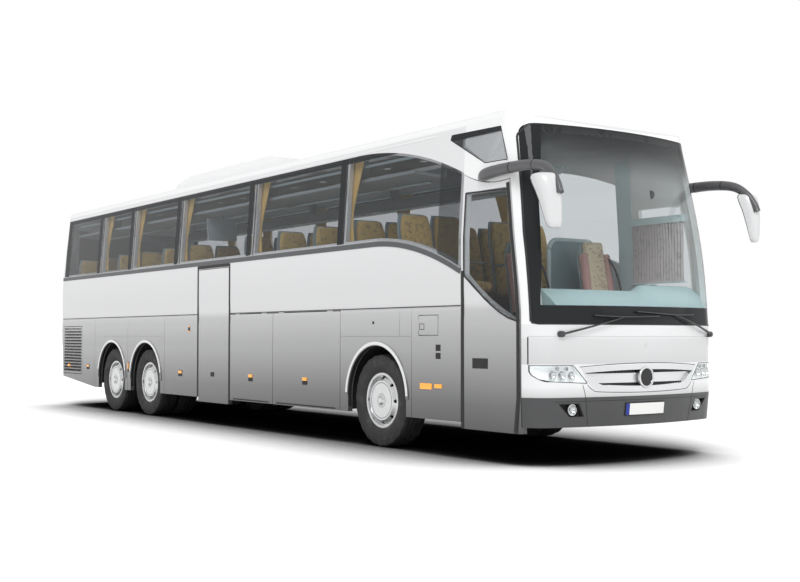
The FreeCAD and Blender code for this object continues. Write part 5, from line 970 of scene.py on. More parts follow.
# ---------------------------------------------------------------- nose
def ring_of(outline: Corners, count: int) -> Array:
    """Even points round a closed outline."""
    corners = np.asarray(list(outline) + [outline[0]], float)
    lengths = np.concatenate([[0], np.cumsum(np.linalg.norm(np.diff(corners, axis=0), axis=1))])
    at = np.linspace(0, lengths[-1], count, endpoint=False)
    return np.stack([np.interp(at, lengths, corners[:, k]) for k in (0, 1)], -1)


def arc_points(centre: tuple[float, float], radius: float, start: float, stop: float, count: int = 48) -> Array:
    """Points of an arc, angles in degrees from the first axis."""
    turn = np.radians(np.linspace(start, stop, count))
    return np.stack([centre[0] + radius * np.cos(turn), centre[1] + radius * np.sin(turn)], -1)


@dataclass(frozen=True)
class Nose:
    """Lamps, plate, seams and small fittings of the nose."""

    lamp: Corners = ((1.233, 0.935), (0.874, 0.935), (0.858, 0.926), (0.716, 0.768), (1.090, 0.786), (1.180, 0.808),
                     (1.222, 0.845), (1.233, 0.880))
    fog: Corners = ((1.014, 0.579), (0.803, 0.579), (0.742, 0.458), (0.893, 0.458))
    bowls: tuple[Colour, ...] = ((1.085, 0.846, 0.046), (0.985, 0.842, 0.046), (0.885, 0.838, 0.044),
                                 (1.030, 0.905, 0.020), (0.935, 0.902, 0.020))
    plate_z: float = 0.513

    def surface(self, side: float = 1.0) -> Callable[[Array, Array, float], Array]:
        """The nose's skin as a function of (x, z, out), mirrored for the side."""
        return lambda x, z, out: FORM.nose_at(side * np.asarray(x), z, out)

    def tray(self, outline: Corners, side: float, rings: Corners) -> Shape:
        """Closed tray inside an outline: rings of (share of the outline, out)."""
        loop = ring_of(outline, 64)
        middle = loop.mean(0)
        grid = [self.surface(side)(*(middle + share * (loop - middle)).T, out) for share, out in rings]
        return Shape().patch(np.stack(grid), wrap=True, ends=True)

    def bowl(self, shape: Shape, x: float, z: float, radius: float, side: float) -> Shape:
        """Add one reflector bowl that looks forwards."""
        centre = FORM.nose_at(side * x, z, -0.050)
        profile = np.array([(0.0, 0.0), (0.006, 0.45), (0.020, 0.80), (0.034, 1.0), (0.037, 1.0), (0.037, 0.93),
                            (0.022, 0.72), (0.010, 0.40), (0.006, 0.0)]) * (1, radius)
        shape.lathe(profile, centre, (0, -1, 0), 40)
        bulb = np.array([(0.006, 0.0), (0.007, 0.20), (0.018, 0.24), (0.026, 0.16), (0.030, 0.0)]) * (1, radius)
        return shape.lathe(bulb, centre, (0, -1, 0), 20)

    def headlamps(self) -> None:
        """Silver trays with three round bowls under a clear lens, both sides."""
        trays, glass, bowls = Shape(), Shape(), Shape()
        for side in Side:
            rings = ((0.0, -0.057), (1.0, -0.057), (1.0, -0.008), (0.965, -0.008), (0.95, -0.046), (0.0, -0.052))
            trays.join(self.tray(self.lamp, side.value, rings))
            x, z = rows(self.lamp, 12, 24)
            glass.slab(self.surface(side.value)(x, z, 0.0005), self.surface(side.value)(x, z, -0.005))
            for place in self.bowls:
                self.bowl(bowls, *place, side.value)
        trays.piece("headlamp_trays", LAMP, replaces=["front_lamps"])
        bowls.piece("headlamp_bowls", WHEEL)
        glass.piece("headlamp_lenses", LENS)

    def fog_lamps(self) -> None:
        """Dark three-cornered recess with a round lamp, both sides."""
        trays, lamps, glass = Shape(), Shape(), Shape()
        for side in Side:
            rings = ((0.0, -0.057), (1.0, -0.057), (1.0, -0.002), (0.93, -0.002), (0.90, -0.050), (0.0, -0.050))
            trays.join(self.tray(self.fog, side.value, rings))
            self.bowl(lamps, 0.872, 0.522, 0.046, side.value)
            rim = np.array([(0.030, 0.046), (0.042, 0.047), (0.042, 0.053), (0.030, 0.053)])
            centre = FORM.nose_at(side.value * 0.872, 0.522, -0.050)
            lamps.lathe(rim, centre, (0, -1, 0), 40, closed=True)
            glass.lathe([(0.037, 0.0), (0.037, 0.046), (0.040, 0.046), (0.043, 0.0)], centre, (0, -1, 0), 40)
        trays.piece("fog_lamp_recesses", SOFT_BLACK)
        lamps.piece("fog_lamps", WHEEL)
        glass.piece("fog_lamp_lenses", LENS)

    def plate(self) -> None:
        """Blank number plate with a plain blue end on a dark holder."""
        for name, finish, low, high, half, out in (("front_plate_holder", SOFT_BLACK, -0.268, 0.268, 0.063, 0.010),
                                                   ("front_plate", PLATE_WHITE, -0.216, 0.258, 0.054, 0.0115),
                                                   ("front_plate_end", PLATE_BLUE, -0.260, -0.2165, 0.054, 0.0115)):
            rect = (low, high, self.plate_z - half, self.plate_z + half)
            Shape().plate(self.surface(), rect, out).piece(name, finish)

    def grille(self) -> None:
        """Dark mesh close behind the bright bars."""
        outline = [(-0.745, 0.880), (-0.40, 0.905), (0.0, 0.912), (0.40, 0.905), (0.745, 0.880), (0.655, 0.795),
                   (0.515, 0.735), (0.0, 0.716), (-0.515, 0.735), (-0.655, 0.795)]
        x, z = rows(outline, 10, 40)
        Shape().slab(self.surface()(x, z, -0.046), self.surface()(x, z, -0.052)).piece("grille_mesh", MESH)
        centre = FORM.nose_at(0.0, 0.812, 0.0)
        ring = [(-0.012, 0.0), (-0.012, 0.100), (0.004, 0.104), (0.012, 0.102), (0.016, 0.095), (0.014, 0.087),
                (0.006, 0.084), (0.003, 0.080), (0.003, 0.0)]
        Shape().lathe(ring, centre, (0, -1, 0), 64).piece("grille_boss", TRIM, smooth=50.0)
        disc = [(0.0035, 0.0), (0.0035, 0.0835), (0.0055, 0.0835), (0.009, 0.0)]
        Shape().lathe(disc, centre, (0, -1, 0), 48).piece("grille_boss_disc", SEAL)

    def seams(self) -> None:
        """Dark joint lines of the service flap, lamp surrounds, bumper and the plate panel's edges, and painted shade
        along the crease at 0.60.
        """
        lines = Shape()
        for side in Side:
            skin = self.surface(side.value)
            lines.ribbon(skin, along([(1.2375, 1.197), (1.2375, 1.05), (1.2375, 0.942)], 16), 0.006, 0.0012)
            lines.ribbon(skin, ring_of(self.lamp, 72), 0.006, 0.0012, closed=True)
            lines.ribbon(skin, along([(0.767, 0.752), (0.742, 0.66), (0.712, 0.50), (0.692, 0.372)], 24), 0.006, 0.0012)
            lines.ribbon(skin, ring_of(self.fog, 48), 0.005, 0.0012, closed=True)
            # Painted shade: this line and the long one after the loop, at 0.60, stand for the shaded crease under the
            # bumper's chamfer.
            lines.ribbon(skin, along([(1.060, 0.598), (0.90, 0.600), (0.728, 0.601)], 20), 0.005, 0.0012)
        lines.ribbon(self.surface(), along([(-0.728, 0.601), (0.0, 0.601), (0.728, 0.601)], 60), 0.005, 0.0012)
        top = [(x, 0.950 - 0.031 * (x / 0.79) ** 2) for x in np.linspace(-0.80, 0.80, 48)]
        lines.ribbon(self.surface(), np.array(top), 0.006, 0.0012)
        foot = [(-0.716, 0.752), (-0.66, 0.706), (-0.56, 0.684), (0.0, 0.671), (0.56, 0.684), (0.66, 0.706),
                (0.716, 0.752)]
        lines.ribbon(self.surface(), along(foot, 80), 0.006, 0.0012)
        lines.piece("nose_seams", SEAL)

    def lock(self) -> None:
        """Small round lock in the service flap."""
        centre = FORM.nose_at(0.0, 1.119, 0.0)
        profile = [(-0.002, 0.0), (-0.002, 0.017), (0.004, 0.017), (0.006, 0.014), (0.006, 0.006), (0.003, 0.004),
                   (0.003, 0.0)]
        Shape().lathe(profile, centre, (0, -1, 0), 32).piece("service_flap_lock", WHEEL)

    def screen_seal(self) -> None:
        """Dark rubber round the windscreen."""
        outline = [(float(FORM.half_width(z)) - 0.052, z) for z in np.linspace(1.330, 3.12, 40)]
        outline += [(1.105, 3.185), (1.060, 3.2235)]
        right = [(-x, z) for x, z in reversed(outline)]
        loop = ring_of(outline + right + [(-1.18, 1.3175), (1.18, 1.3175)], 260)
        Shape().ribbon(self.surface(), loop, 0.012, 0.003, closed=True).piece("windscreen_seal", SEAL)

    def build(self) -> None:
        """Make all of it."""
        self.headlamps()
        self.fog_lamps()
        self.plate()
        self.grille()
        self.seams()
        self.lock()
        self.screen_seal()


# ---------------------------------------------------------------- sides
@dataclass(frozen=True)
class SideTrim:
    """Mouldings, rubber strips, markers and blank plates of one side."""

    side: Side

    def skin(self, s: Array, z: Array, out: float) -> Array:
        """The side's skin as a function of (station, height, out)."""
        return FORM.side_at(s, z, self.side.value, out)

    def name(self, text: str) -> str:
        """Piece name with the side at its end."""
        return f"{text}_{self.side.label}"

    @staticmethod
    def glass_foot(s: Array) -> Array:
        """Height of the side glass's lower edge: an arc in front, level behind."""
        bend_s = 2.80
        return 2.250 - np.where(s < bend_s, (bend_s - s) ** 2 * 0.1523, 0.0)

    def belt(self) -> None:
        """Two-step moulding under the glass."""
        s = np.concatenate([np.linspace(1.258, 2.9, 28), np.linspace(3.0, 12.655, 60)])
        for name, finish, drop, width, out in (("belt_moulding", BELT, 0.040, 0.056, 0.006),
                                               ("belt_bead", TRIM_DULL, 0.010, 0.010, 0.009)):
            path = np.stack([s, self.glass_foot(s) - drop], -1)
            Shape().ribbon(self.skin, path, width, out).piece(self.name(name), finish)

    def posts(self) -> None:
        """Thin black joints between the panes."""
        lines = Shape()
        for s in JOINTS:
            post = np.array([(s, z) for z in np.linspace(2.252, 3.238, 8)])
            lines.ribbon(self.skin, post, 0.0075, 0.0008, sink=0.006)
        lines.piece(self.name("pane_joints"), SEAL)

    def arch_lips(self) -> None:
        """Bright lips over the wheel arches, and a dark sheet inside them as painted shade."""
        lips, shade = Shape(), Shape()
        for axle, s, _ in AXLES:
            reach = 177.0 if axle == "front" else 168.0
            lips.ribbon(lambda a, b, out: self.skin(a, b, out + 0.010),
                        arc_points((s, ARCH_Z), ARCH_R + 0.0235, 180 - reach, reach, 64), 0.034, 0.004)
            # Painted shade: a dark sheet just inside each arch's cut edge.
            faces = []
            for radius in (ARCH_R - 0.0008, ARCH_R - 0.0038):
                arc = arc_points((s, ARCH_Z), radius, 0, 180, 64)
                ring = np.concatenate([[(s + radius, 0.42)], arc, [(s - radius, 0.42)]])
                faces.append(np.stack([self.skin(*ring.T, out) for out in (-0.003, -0.045)]))
            shade.slab(*faces)
        lips.piece(self.name("arch_lips"), LIP)
        shade.piece(self.name("arch_shades"), LINER)

    def middle_line(self) -> None:
        """Thin dark joint that runs over the flaps and lockers at mid height."""
        spans = [(1.262, 6.190), (7.200, 12.640)] if self.side is Side.RIGHT else [(1.262, 12.640)]
        line = Shape()
        for start, end in spans:
            s = np.linspace(start, end, 60)
            line.ribbon(self.skin, np.stack([s, np.full(60, MID_LINE_Z)], -1), 0.010, 0.003)
        line.piece(self.name("middle_line"), SEAL)

    def markers(self) -> None:
        """Black feet under the plain amber lamps of the wall."""
        fixed = [(9.640, 9.670, 0.690, 0.790), (11.360, 11.450, 0.690, 0.725)]
        if self.side is Side.RIGHT:
            fixed.append((7.690, 7.790, 0.672, 0.712))
        feet = Shape()
        for s0, s1, z0, z1 in fixed:
            feet.plate(self.skin, (s0 - 0.010, s1 + 0.010, z0 - 0.040, z1 + 0.007), 0.0045)
        feet.piece(self.name("marker_feet"), SOFT_BLACK)

    def flap_fittings(self) -> None:
        """Marker lens, its foot and the finger strip of each luggage flap."""
        start, split, end = FLAPS
        edges = (start, split, 6.194) if self.side is Side.RIGHT else (start, split, (split + end) / 2, end)
        for number, (front, back) in enumerate(zip(edges, edges[1:]), 1):
            body = f"luggage_flap_{self.side.label}_{number}"
            middle = (front + back) / 2
            foot = Shape().plate(self.skin, (middle - 0.050, middle + 0.050, 0.626, 0.6735), 0.007)
            foot.plate(self.skin, (front + 0.10, back - 0.10, 0.372, 0.388), 0.003)
            foot.piece(f"flap_marker_foot_{self.side.label}_{number}", SOFT_BLACK, body)
            Shape().plate(self.skin, (middle - 0.047, middle + 0.047, 0.674, 0.7135), 0.0092).piece(
                f"flap_marker_lens_{self.side.label}_{number}", AMBER, body)

    def strips(self) -> None:
        """Dark rubber edges between the doors and the walls."""
        if self.side is Side.LEFT:
            return
        z = np.linspace(0.300, 1.85, 12)
        Shape().ribbon(self.skin, np.stack([np.full(12, 1.2250), z], -1), 0.042, 0.004).piece(
            "front_door_rear_rubber", SEAL, "front_door")
        front = [(0.374 + 0.027 + float(FORM.nose_lean(h)), h) for h in np.linspace(0.305, 2.66, 30)]
        Shape().ribbon(self.skin, np.array(front), 0.042, 0.004).piece(
            "front_door_front_rubber", SEAL, "front_door")
        posts = Shape()
        for s in (MID_DOOR[0] - 0.0225, MID_DOOR[1] + 0.0225):
            posts.ribbon(self.skin, np.array([(s, h) for h in np.linspace(0.362, 2.178, 12)]), 0.034, 0.004)
        posts.plate(self.skin, (*MID_DOOR, 2.139, 2.181), 0.004)
        posts.piece("mid_door_rubbers", SEAL)

    def door_glass_edge(self) -> None:
        """Black edge round the door glass, or the driver's window."""
        front = [(0.416 + float(FORM.nose_lean(z)), z) for z in np.linspace(1.345, 2.600, 20)]
        outline = front + [(1.208, 2.618), (1.208, 1.802), (1.05, 1.690), (0.90, 1.575), (0.78, 1.497),
                           (0.66, 1.430), (0.54, 1.378)]
        body = "front_door" if self.side is Side.RIGHT else BODY
        Shape().ribbon(self.skin, ring_of(outline, 140), 0.016, 0.0015, closed=True).piece(
            self.name("door_glass_seal"), SEAL, body)

    def quarter_seal(self) -> None:
        """Thin rubber round the dark quarter pane."""
        outline = [(0.600, 2.885), (0.930, 2.888), (1.500, 3.190), (1.480, 3.236), (0.720, 3.222)]
        Shape().ribbon(self.skin, ring_of(outline, 90), 0.008, 0.0015, closed=True).piece(
            self.name("quarter_seal"), SEAL)

    def plates(self) -> None:
        """Blank black plates, small reflectors, a lock and the filler latch of the door side."""
        if self.side is Side.LEFT:
            return
        lock = [(-0.001, 0.0), (-0.001, 0.016), (0.004, 0.016), (0.005, 0.0)]
        dark = Shape().lathe(lock, self.skin(2.794, 1.352, 0.0), (-1, 0, 0), 24)
        for shape, name, finish, body, out, sink, rects in (
                (dark, "blank_side_plates", SOFT_BLACK, BODY, 0.002, 0.001,
                 ((1.583, 1.663, 1.056, 1.120), (1.583, 1.663, 0.975, 1.036), (7.425, 7.485, 1.262, 1.352))),
                (Shape(), "small_side_reflectors", AMBER, BODY, 0.003, 0.001,
                 ((7.429, 7.481, 1.332, 1.350), (7.429, 7.481, 1.264, 1.282))),
                (Shape(), "grille_reflector", AMBER, "side_grille_door_right", 0.005, 0.02,
                 ((12.300, 12.372, 0.678, 0.718),)),
                (Shape(), "blank_door_plate", SOFT_BLACK, "front_door", 0.002, 0.001, ((0.838, 1.072, 0.893, 0.992),)),
                (Shape(), "mid_door_handle_plate", SOFT_BLACK, "mid_door", 0.003, 0.001,
                 ((6.660, 6.765, 0.655, 0.715),))):
            for rect in rects:
                shape.plate(self.skin, rect, out, sink)
            shape.piece(name, finish, body)
        latch = ring_of([(1.862, 1.275), (1.940, 1.275), (1.940, 1.332), (1.862, 1.332)], 40)
        Shape().ribbon(self.skin, latch, 0.007, 0.002, closed=True).piece("filler_latch", IRON, "filler_flap")

    def build(self) -> None:
        """Make all of it."""
        self.belt()
        self.posts()
        self.arch_lips()
        self.middle_line()
        self.markers()
        self.flap_fittings()
        self.strips()
        self.door_glass_edge()
        self.quarter_seal()
        self.plates()


# ---------------------------------------------------------------- mirrors and wipers
@dataclass(frozen=True)
class Mirror:
    """One outside mirror on its swept arm."""

    side: Side
    arm: tuple[tuple[float, float, float, float], ...] = (
        (-1.190, 1.010, 2.752, 0.050), (-1.262, 0.880, 2.768, 0.053), (-1.285, 0.620, 2.783, 0.050),
        (-1.300, 0.260, 2.782, 0.046), (-1.318, 0.000, 2.745, 0.042), (-1.338, -0.140, 2.660, 0.038),
        (-1.352, -0.222, 2.560, 0.035), (-1.358, -0.264, 2.470, 0.034))
    head: tuple[tuple[float, float, float, float, float], ...] = (
        (2.160, -1.372, -0.205, 0.040, 0.036), (2.175, -1.371, -0.196, 0.060, 0.058),
        (2.230, -1.371, -0.184, 0.074, 0.074), (2.330, -1.371, -0.160, 0.088, 0.100),
        (2.420, -1.371, -0.136, 0.100, 0.120), (2.500, -1.372, -0.110, 0.112, 0.140),
        (2.570, -1.373, -0.078, 0.120, 0.156), (2.620, -1.374, -0.060, 0.122, 0.158),
        (2.645, -1.375, -0.062, 0.112, 0.140), (2.655, -1.375, -0.066, 0.096, 0.115))
    toe_deg: float = 20.0

    def flip(self, points: Array) -> Array:
        """Mirror the right side's points for the left."""
        return points if self.side is Side.RIGHT else points * (-1, 1, 1)

    def level(self, z: float, x: float, s: float, half: float, thick: float, back: float = 0.0) -> Array:
        """One level ring of the head: a rounded front with a flat back."""
        turn = math.radians(self.toe_deg)
        angle = np.linspace(0, math.pi, 25)
        across = np.concatenate([-half * np.cos(angle), np.linspace(half, -half, 9)[1:-1]])
        power = np.sign(np.sin(angle)) * np.abs(np.sin(angle)) ** 0.55
        ahead = np.concatenate([thick * power, np.zeros(7)]) - back
        px = x + across * math.cos(turn) - ahead * math.sin(turn)
        py = FORM.y(s) - across * math.sin(turn) - ahead * math.cos(turn)
        return np.stack([px, py, np.full_like(px, z)], -1)

    def build(self) -> None:
        """Make the arm with its joints, the shell, its dark rim and the glass."""
        tag = self.side.label
        knots = np.array(self.arm)
        path = along(knots[:, :3], 56)
        radius = along(knots[:, 3:], 56)[:, 0]
        path[:, 1] = FORM.y(path[:, 1])
        arm = Shape().tube(self.flip(path), radius, 20, flat=1.12)
        arm.piece(f"mirror_arm_{tag}", MIRROR_ARM, replaces=["mirrors"])
        bands = Shape()
        for k in (19, 27):
            band = np.stack([path[k], path[k] + 0.3 * (path[k + 1] - path[k])])
            bands.tube(self.flip(band), radius[k] * 1.012, 20, flat=1.12)
        bands.piece(f"mirror_arm_joints_{tag}", SEAL)
        shell = np.stack([self.level(*row) for row in self.head])
        Shape().patch(self.flip(shell), wrap=True, ends=True).piece(f"mirror_shell_{tag}", MIRROR_SHELL, smooth=60.0)
        rim = [self.level(*row[:3], row[3] * 1.02, row[4] * 0.16, 0.004) for row in self.head]
        Shape().patch(self.flip(np.stack(rim)), wrap=True, ends=True).piece(f"mirror_rim_{tag}", MIRROR_ARM)
        glass = [self.level(*row[:3], row[3] * 0.88, 0.004, 0.0065) for row in self.head[2:-2]]
        Shape().patch(self.flip(np.stack(glass)), wrap=True, ends=True).piece(f"mirror_glass_{tag}", MIRROR_FACE)


@dataclass(frozen=True)
class Wiper:
    """One parked wiper: pivot, tapered arm and a blade that follows the screen."""

    name: str
    pivot: tuple[float, float]
    tip: tuple[float, float]
    blade: tuple[tuple[float, float], tuple[float, float]]

    def over(self, places: Array, out: float) -> Array:
        """Points over the nose."""
        return FORM.nose_at(places[:, 0], places[:, 1], out)

    def build(self, replaced: Sequence[str]) -> None:
        """Make the metal and the rubber."""
        steps = np.linspace(0, 1, 24)[:, None]
        run = np.array(self.pivot) * (1 - steps) + np.array(self.tip) * steps
        rise = 0.034 + 0.012 * np.sin(math.pi * steps[:, 0])
        path = self.over(run, 0.0)
        path[:, 1] -= rise
        arm = Shape().tube(path, 0.017 - 0.010 * steps[:, 0], 10, flat=0.7)
        hub = [(-0.030, 0.0), (-0.030, 0.030), (0.030, 0.030), (0.046, 0.026), (0.052, 0.014), (0.053, 0.0)]
        arm.lathe(hub, FORM.nose_at(*self.pivot, 0.0), (0, -1, 0), 28)
        low, high = (np.array(end) for end in self.blade)
        middle = np.array(self.tip)
        line = along([low, middle, high] if low[0] < middle[0] < high[0] else [low, high], 40)
        arm.tube(self.over(line, 0.030), 0.008, 8, flat=0.8)
        bridge = line[8:32]
        arm.tube(self.over(bridge, 0.030) - (0, 0.010, 0), 0.006, 8)
        arm.piece(f"wiper_arm_{self.name}", WIPER_GREY, replaces=replaced)
        rubber = Shape().ribbon(FORM.nose_at, line, 0.006, 0.024, sink=-0.0035)
        rubber.piece(f"wiper_rubber_{self.name}", SEAL)


WIPERS = (Wiper("right", (-1.000, 1.225), (-0.300, 1.388), ((-0.650, 1.400), (0.165, 1.400))),
          Wiper("left", (1.095, 1.225), (0.420, 1.415), ((-0.140, 1.440), (0.730, 1.420))))



# ---------------------------------------------------------------- cabin
def turned(place: Sequence[float], lean_deg: float, upright: bool) -> Frame:
    """Origin and axes of a pad: across, along and out of its upper face.

    Args:
        place: its middle, as x, station and height.
        lean_deg: how far it leans back, or how far a level pad falls to the rear.
        upright: a back rest, whose length runs up and whose upper face looks ahead.

    Returns:
        Origin, across, along and out.
    """
    lean = math.radians(lean_deg)
    origin = np.array([place[0], FORM.y(place[1]), place[2]])
    run = np.array([0.0, math.sin(lean), math.cos(lean)] if upright else [0.0, math.cos(lean), -math.sin(lean)])
    across = np.array([1.0, 0.0, 0.0])
    return origin, across, run, np.cross(across, run)


class Pad:
    """A block with round edges that can be stuffed, sewn and set in many places."""

    def __init__(self, size: Sequence[float], cell: float, round_off: float, waist: float = 0.0) -> None:
        """Shape the block: x across, y along, z out.

        Args:
            size: across, along and thick.
            cell: length of its faces.
            round_off: radius of its edges.
            waist: share of the width that the far end loses towards its round top.
        """
        self.size = np.asarray(size, float)
        half = self.size / 2
        count = np.maximum(2, np.rint(self.size / cell).astype(int))
        shape = Shape()
        for k in range(3):
            a, b = (k + 1) % 3, (k + 2) % 3
            u, v = np.meshgrid(*(np.linspace(-half[i], half[i], count[i] + 1) for i in (a, b)), indexing="ij")
            for end in (-1.0, 1.0):
                grid = np.zeros(u.shape + (3,))
                grid[..., a], grid[..., b], grid[..., k] = u, v, end * half[k]
                shape.patch(grid)
        points = np.concatenate(shape.points)
        core = np.clip(points, round_off - half, half - round_off)
        away = points - core
        points = core + round_off * away / np.linalg.norm(away, axis=1, keepdims=True)
        rise = np.clip((points[:, 1] / self.size[1] - 0.22) / 0.28, 0.0, 1.0)
        points[:, 0] *= 1.0 - waist * rise ** 2
        mesh = bpy.data.meshes.new("pad")
        mesh.from_pydata(points, [], shape.faces)
        tidy_mesh(mesh)
        self.points = np.array([v.co for v in mesh.vertices])
        self.faces = [list(face.vertices) for face in mesh.polygons]
        bpy.data.meshes.remove(mesh)

    def stuffed(self, reach: float) -> "Pad":
        """Fill it: a cloth simulation under pressure, each point kept within reach of its start."""
        mesh = bpy.data.meshes.new("pad")
        mesh.from_pydata(self.points, [], self.faces)
        thing = bpy.data.objects.new("pad", mesh)
        scene = bpy.context.scene
        scene.collection.objects.link(thing)
        cloth = thing.modifiers.new("filling", "CLOTH")
        cloth.settings.use_pressure = True
        cloth.settings.uniform_pressure_force = 4.0
        cloth.settings.effector_weights.gravity = 0.0
        cloth.point_cache.frame_start, cloth.point_cache.frame_end = 1, 20
        for frame in range(1, 21):
            scene.frame_set(frame)
        filled = thing.evaluated_get(bpy.context.evaluated_depsgraph_get()).data
        moved = np.array([v.co for v in filled.vertices]) - self.points
        length = np.linalg.norm(moved, axis=1, keepdims=True) + 1e-9
        self.points = self.points + moved / length * reach * np.tanh(length / reach)
        scene.frame_set(1)
        bpy.data.objects.remove(thing)
        LOG.info("stuffed a pad of %s: mean move %.4f m", self.size.round(3), float(length.mean()))
        return self

    def sewn(self, across: Sequence[float] = (), along: Sequence[float] = (), depth: float = 0.007,
             width: float = 0.012) -> "Pad":
        """Pull the upper face in along seams at some places across and along it."""
        upper = np.clip(self.points[:, 2] / self.size[2] * 2, 0.0, 1.0)
        for axis, places in ((0, across), (1, along)):
            for place in places:
                self.points[:, 2] -= depth * upper * np.exp(-((self.points[:, axis] - place) / width) ** 2)
        return self

    def into(self, shape: Shape, frame: Frame) -> None:
        """Add it to a shape in a frame."""
        origin, across, run, out = frame
        other = Shape()
        other.points = [origin + self.points[:, :1] * across + self.points[:, 1:2] * run + self.points[:, 2:] * out]
        other.faces, other.count = self.faces, len(self.points)
        shape.join(other)


class PassengerSeats:
    """Rows of double seats with stuffed cushions, hard back shells, arm rests and pedestals."""

    inner_x, width, split, pitch = 0.265, 0.425, 0.02, 0.885
    first_s, left_first_s, row_count = 2.835, 2.10, 11

    def places(self) -> list[tuple[float, float]]:
        """Side and front station of each double seat."""
        spots = [(-1.0, self.first_s - self.pitch), (1.0, self.left_first_s)]
        for number in range(self.row_count):
            start = self.first_s + number * self.pitch
            spots.append((1.0, start))
            if start + 0.655 < MID_DOOR[0] + 0.005 or start > MID_DOOR[1] - 0.005:
                spots.append((-1.0, start))
        return spots

    def build(self) -> None:
        """Make the cushions, backs, shells, arm rests and pedestals."""
        seat = Pad((0.42, 0.45, 0.105), 0.034, 0.03).stuffed(0.012).sewn(across=(-0.13, 0.13))
        back = Pad((0.415, 0.83, 0.075), 0.034, 0.028, waist=0.24).stuffed(0.012)
        back.sewn(across=(-0.13, 0.13), along=(0.2,))
        cover = Pad((0.43, 0.85, 0.03), 0.07, 0.014, waist=0.2)
        cushions, backs, shells, frames = Shape(), Shape(), Shape(), Shape()
        for side, start in self.places():
            near = side * (self.inner_x + self.width / 2)
            far = near + side * (self.width + self.split)
            for x in (near, far):
                seat.into(cushions, turned((x, start + 0.222, DECK_Z + 0.382), 3.0, False))
                back.into(backs, turned((x, start + 0.492, DECK_Z + 0.785), 10.9, True))
                cover.into(shells, turned((x, start + 0.539, DECK_Z + 0.782), 10.9, True))
            low, high = sorted((near, far))
            frames.loft((low, FORM.y(start + 0.12), DECK_Z), (high, FORM.y(start + 0.32), DECK_Z + 0.33), 0.03)
            arm = side * (self.inner_x + 0.018)
            shells.tube(along([(arm, FORM.y(start + 0.50), DECK_Z + 0.66), (arm, FORM.y(start + 0.30), DECK_Z + 0.675),
                               (arm, FORM.y(start + 0.14), DECK_Z + 0.655)], 9), 0.016, 8, 0.8)
        for shape, name in ((cushions, "passenger_cushions"), (backs, "passenger_backs")):
            shape.piece(name, PASSENGER, smooth=60.0, replaces=("passenger_seats",))
        shells.piece("passenger_shells", SHELL_GREY, replaces=("passenger_seats",))
        frames.piece("passenger_pedestals", SOFT_BLACK, replaces=("passenger_seats",))


class CrewSeats:
    """Driver's and guide's seats: tan middles, pink side bolsters, belts and pedestals."""

    places = ((0.79, 0.96), (0.06, 1.33))

    def build(self) -> None:
        """Make both seats."""
        seat = Pad((0.27, 0.45, 0.11), 0.022, 0.03).stuffed(0.01).sewn(along=(-0.02,))
        wing = Pad((0.085, 0.45, 0.13), 0.022, 0.035).stuffed(0.008)
        back = Pad((0.29, 0.88, 0.085), 0.022, 0.03, waist=0.1).stuffed(0.01).sewn(along=(0.22, -0.12))
        side = Pad((0.075, 0.74, 0.11), 0.022, 0.035, waist=0.1).stuffed(0.008)
        middles, wings, shells, bases, belts = Shape(), Shape(), Shape(), Shape(), Shape()
        cover = Pad((0.41, 0.90, 0.03), 0.05, 0.014, waist=0.3)
        for x, start in self.places:
            seat.into(middles, turned((x, start + 0.222, PLATFORM_Z + 0.385), 3.0, False))
            back.into(middles, turned((x, start + 0.486, PLATFORM_Z + 0.865), 9.5, True))
            cover.into(shells, turned((x, start + 0.536, PLATFORM_Z + 0.845), 9.5, True))
            for hand in (-1.0, 1.0):
                wing.into(wings, turned((x + hand * 0.168, start + 0.222, PLATFORM_Z + 0.392), 3.0, False))
                side.into(wings, turned((x + hand * 0.172, start + 0.462, PLATFORM_Z + 0.80), 9.5, True))
            foot = np.array([x, FORM.y(start), PLATFORM_Z])
            bases.loft(foot + (-0.1, 0.12, 0.0), foot + (0.1, 0.32, 0.05), 0.02)
            fold = [(h, 0.088 + 0.012 * (k % 2)) for k, h in enumerate(np.linspace(0.05, 0.31, 13))]
            bases.lathe(fold, foot + (0.0, 0.22, 0.0), (0, 0, 1), 28)
            bases.loft(foot + (-0.18, 0.05, 0.305), foot + (0.18, 0.40, 0.335), 0.012)
            bases.lathe(((0.0, 0.03), (0.012, 0.036), (0.02, 0.03)), foot + (-0.213, 0.40, 0.48), (-1, 0, 0), 20)
            strap = foot + ((0.17, 0.47, 1.12), (0.19, 0.37, 0.95), (0.205, 0.30, 0.68), (0.212, 0.28, 0.42))
            belts.tube(along(strap, 16), 0.024, 8, 0.12)
        middles.piece("crew_middles", CREW, smooth=60.0, replaces=("crew_seats",))
        wings.piece("crew_bolsters", CREW_SIDE, smooth=60.0, replaces=("crew_seats",))
        shells.piece("crew_shells", SHELL_GREY, replaces=("crew_seats",))
        bases.piece("crew_bases", SOFT_BLACK, replaces=("crew_seats",))
        belts.piece("crew_belts", SEAL)


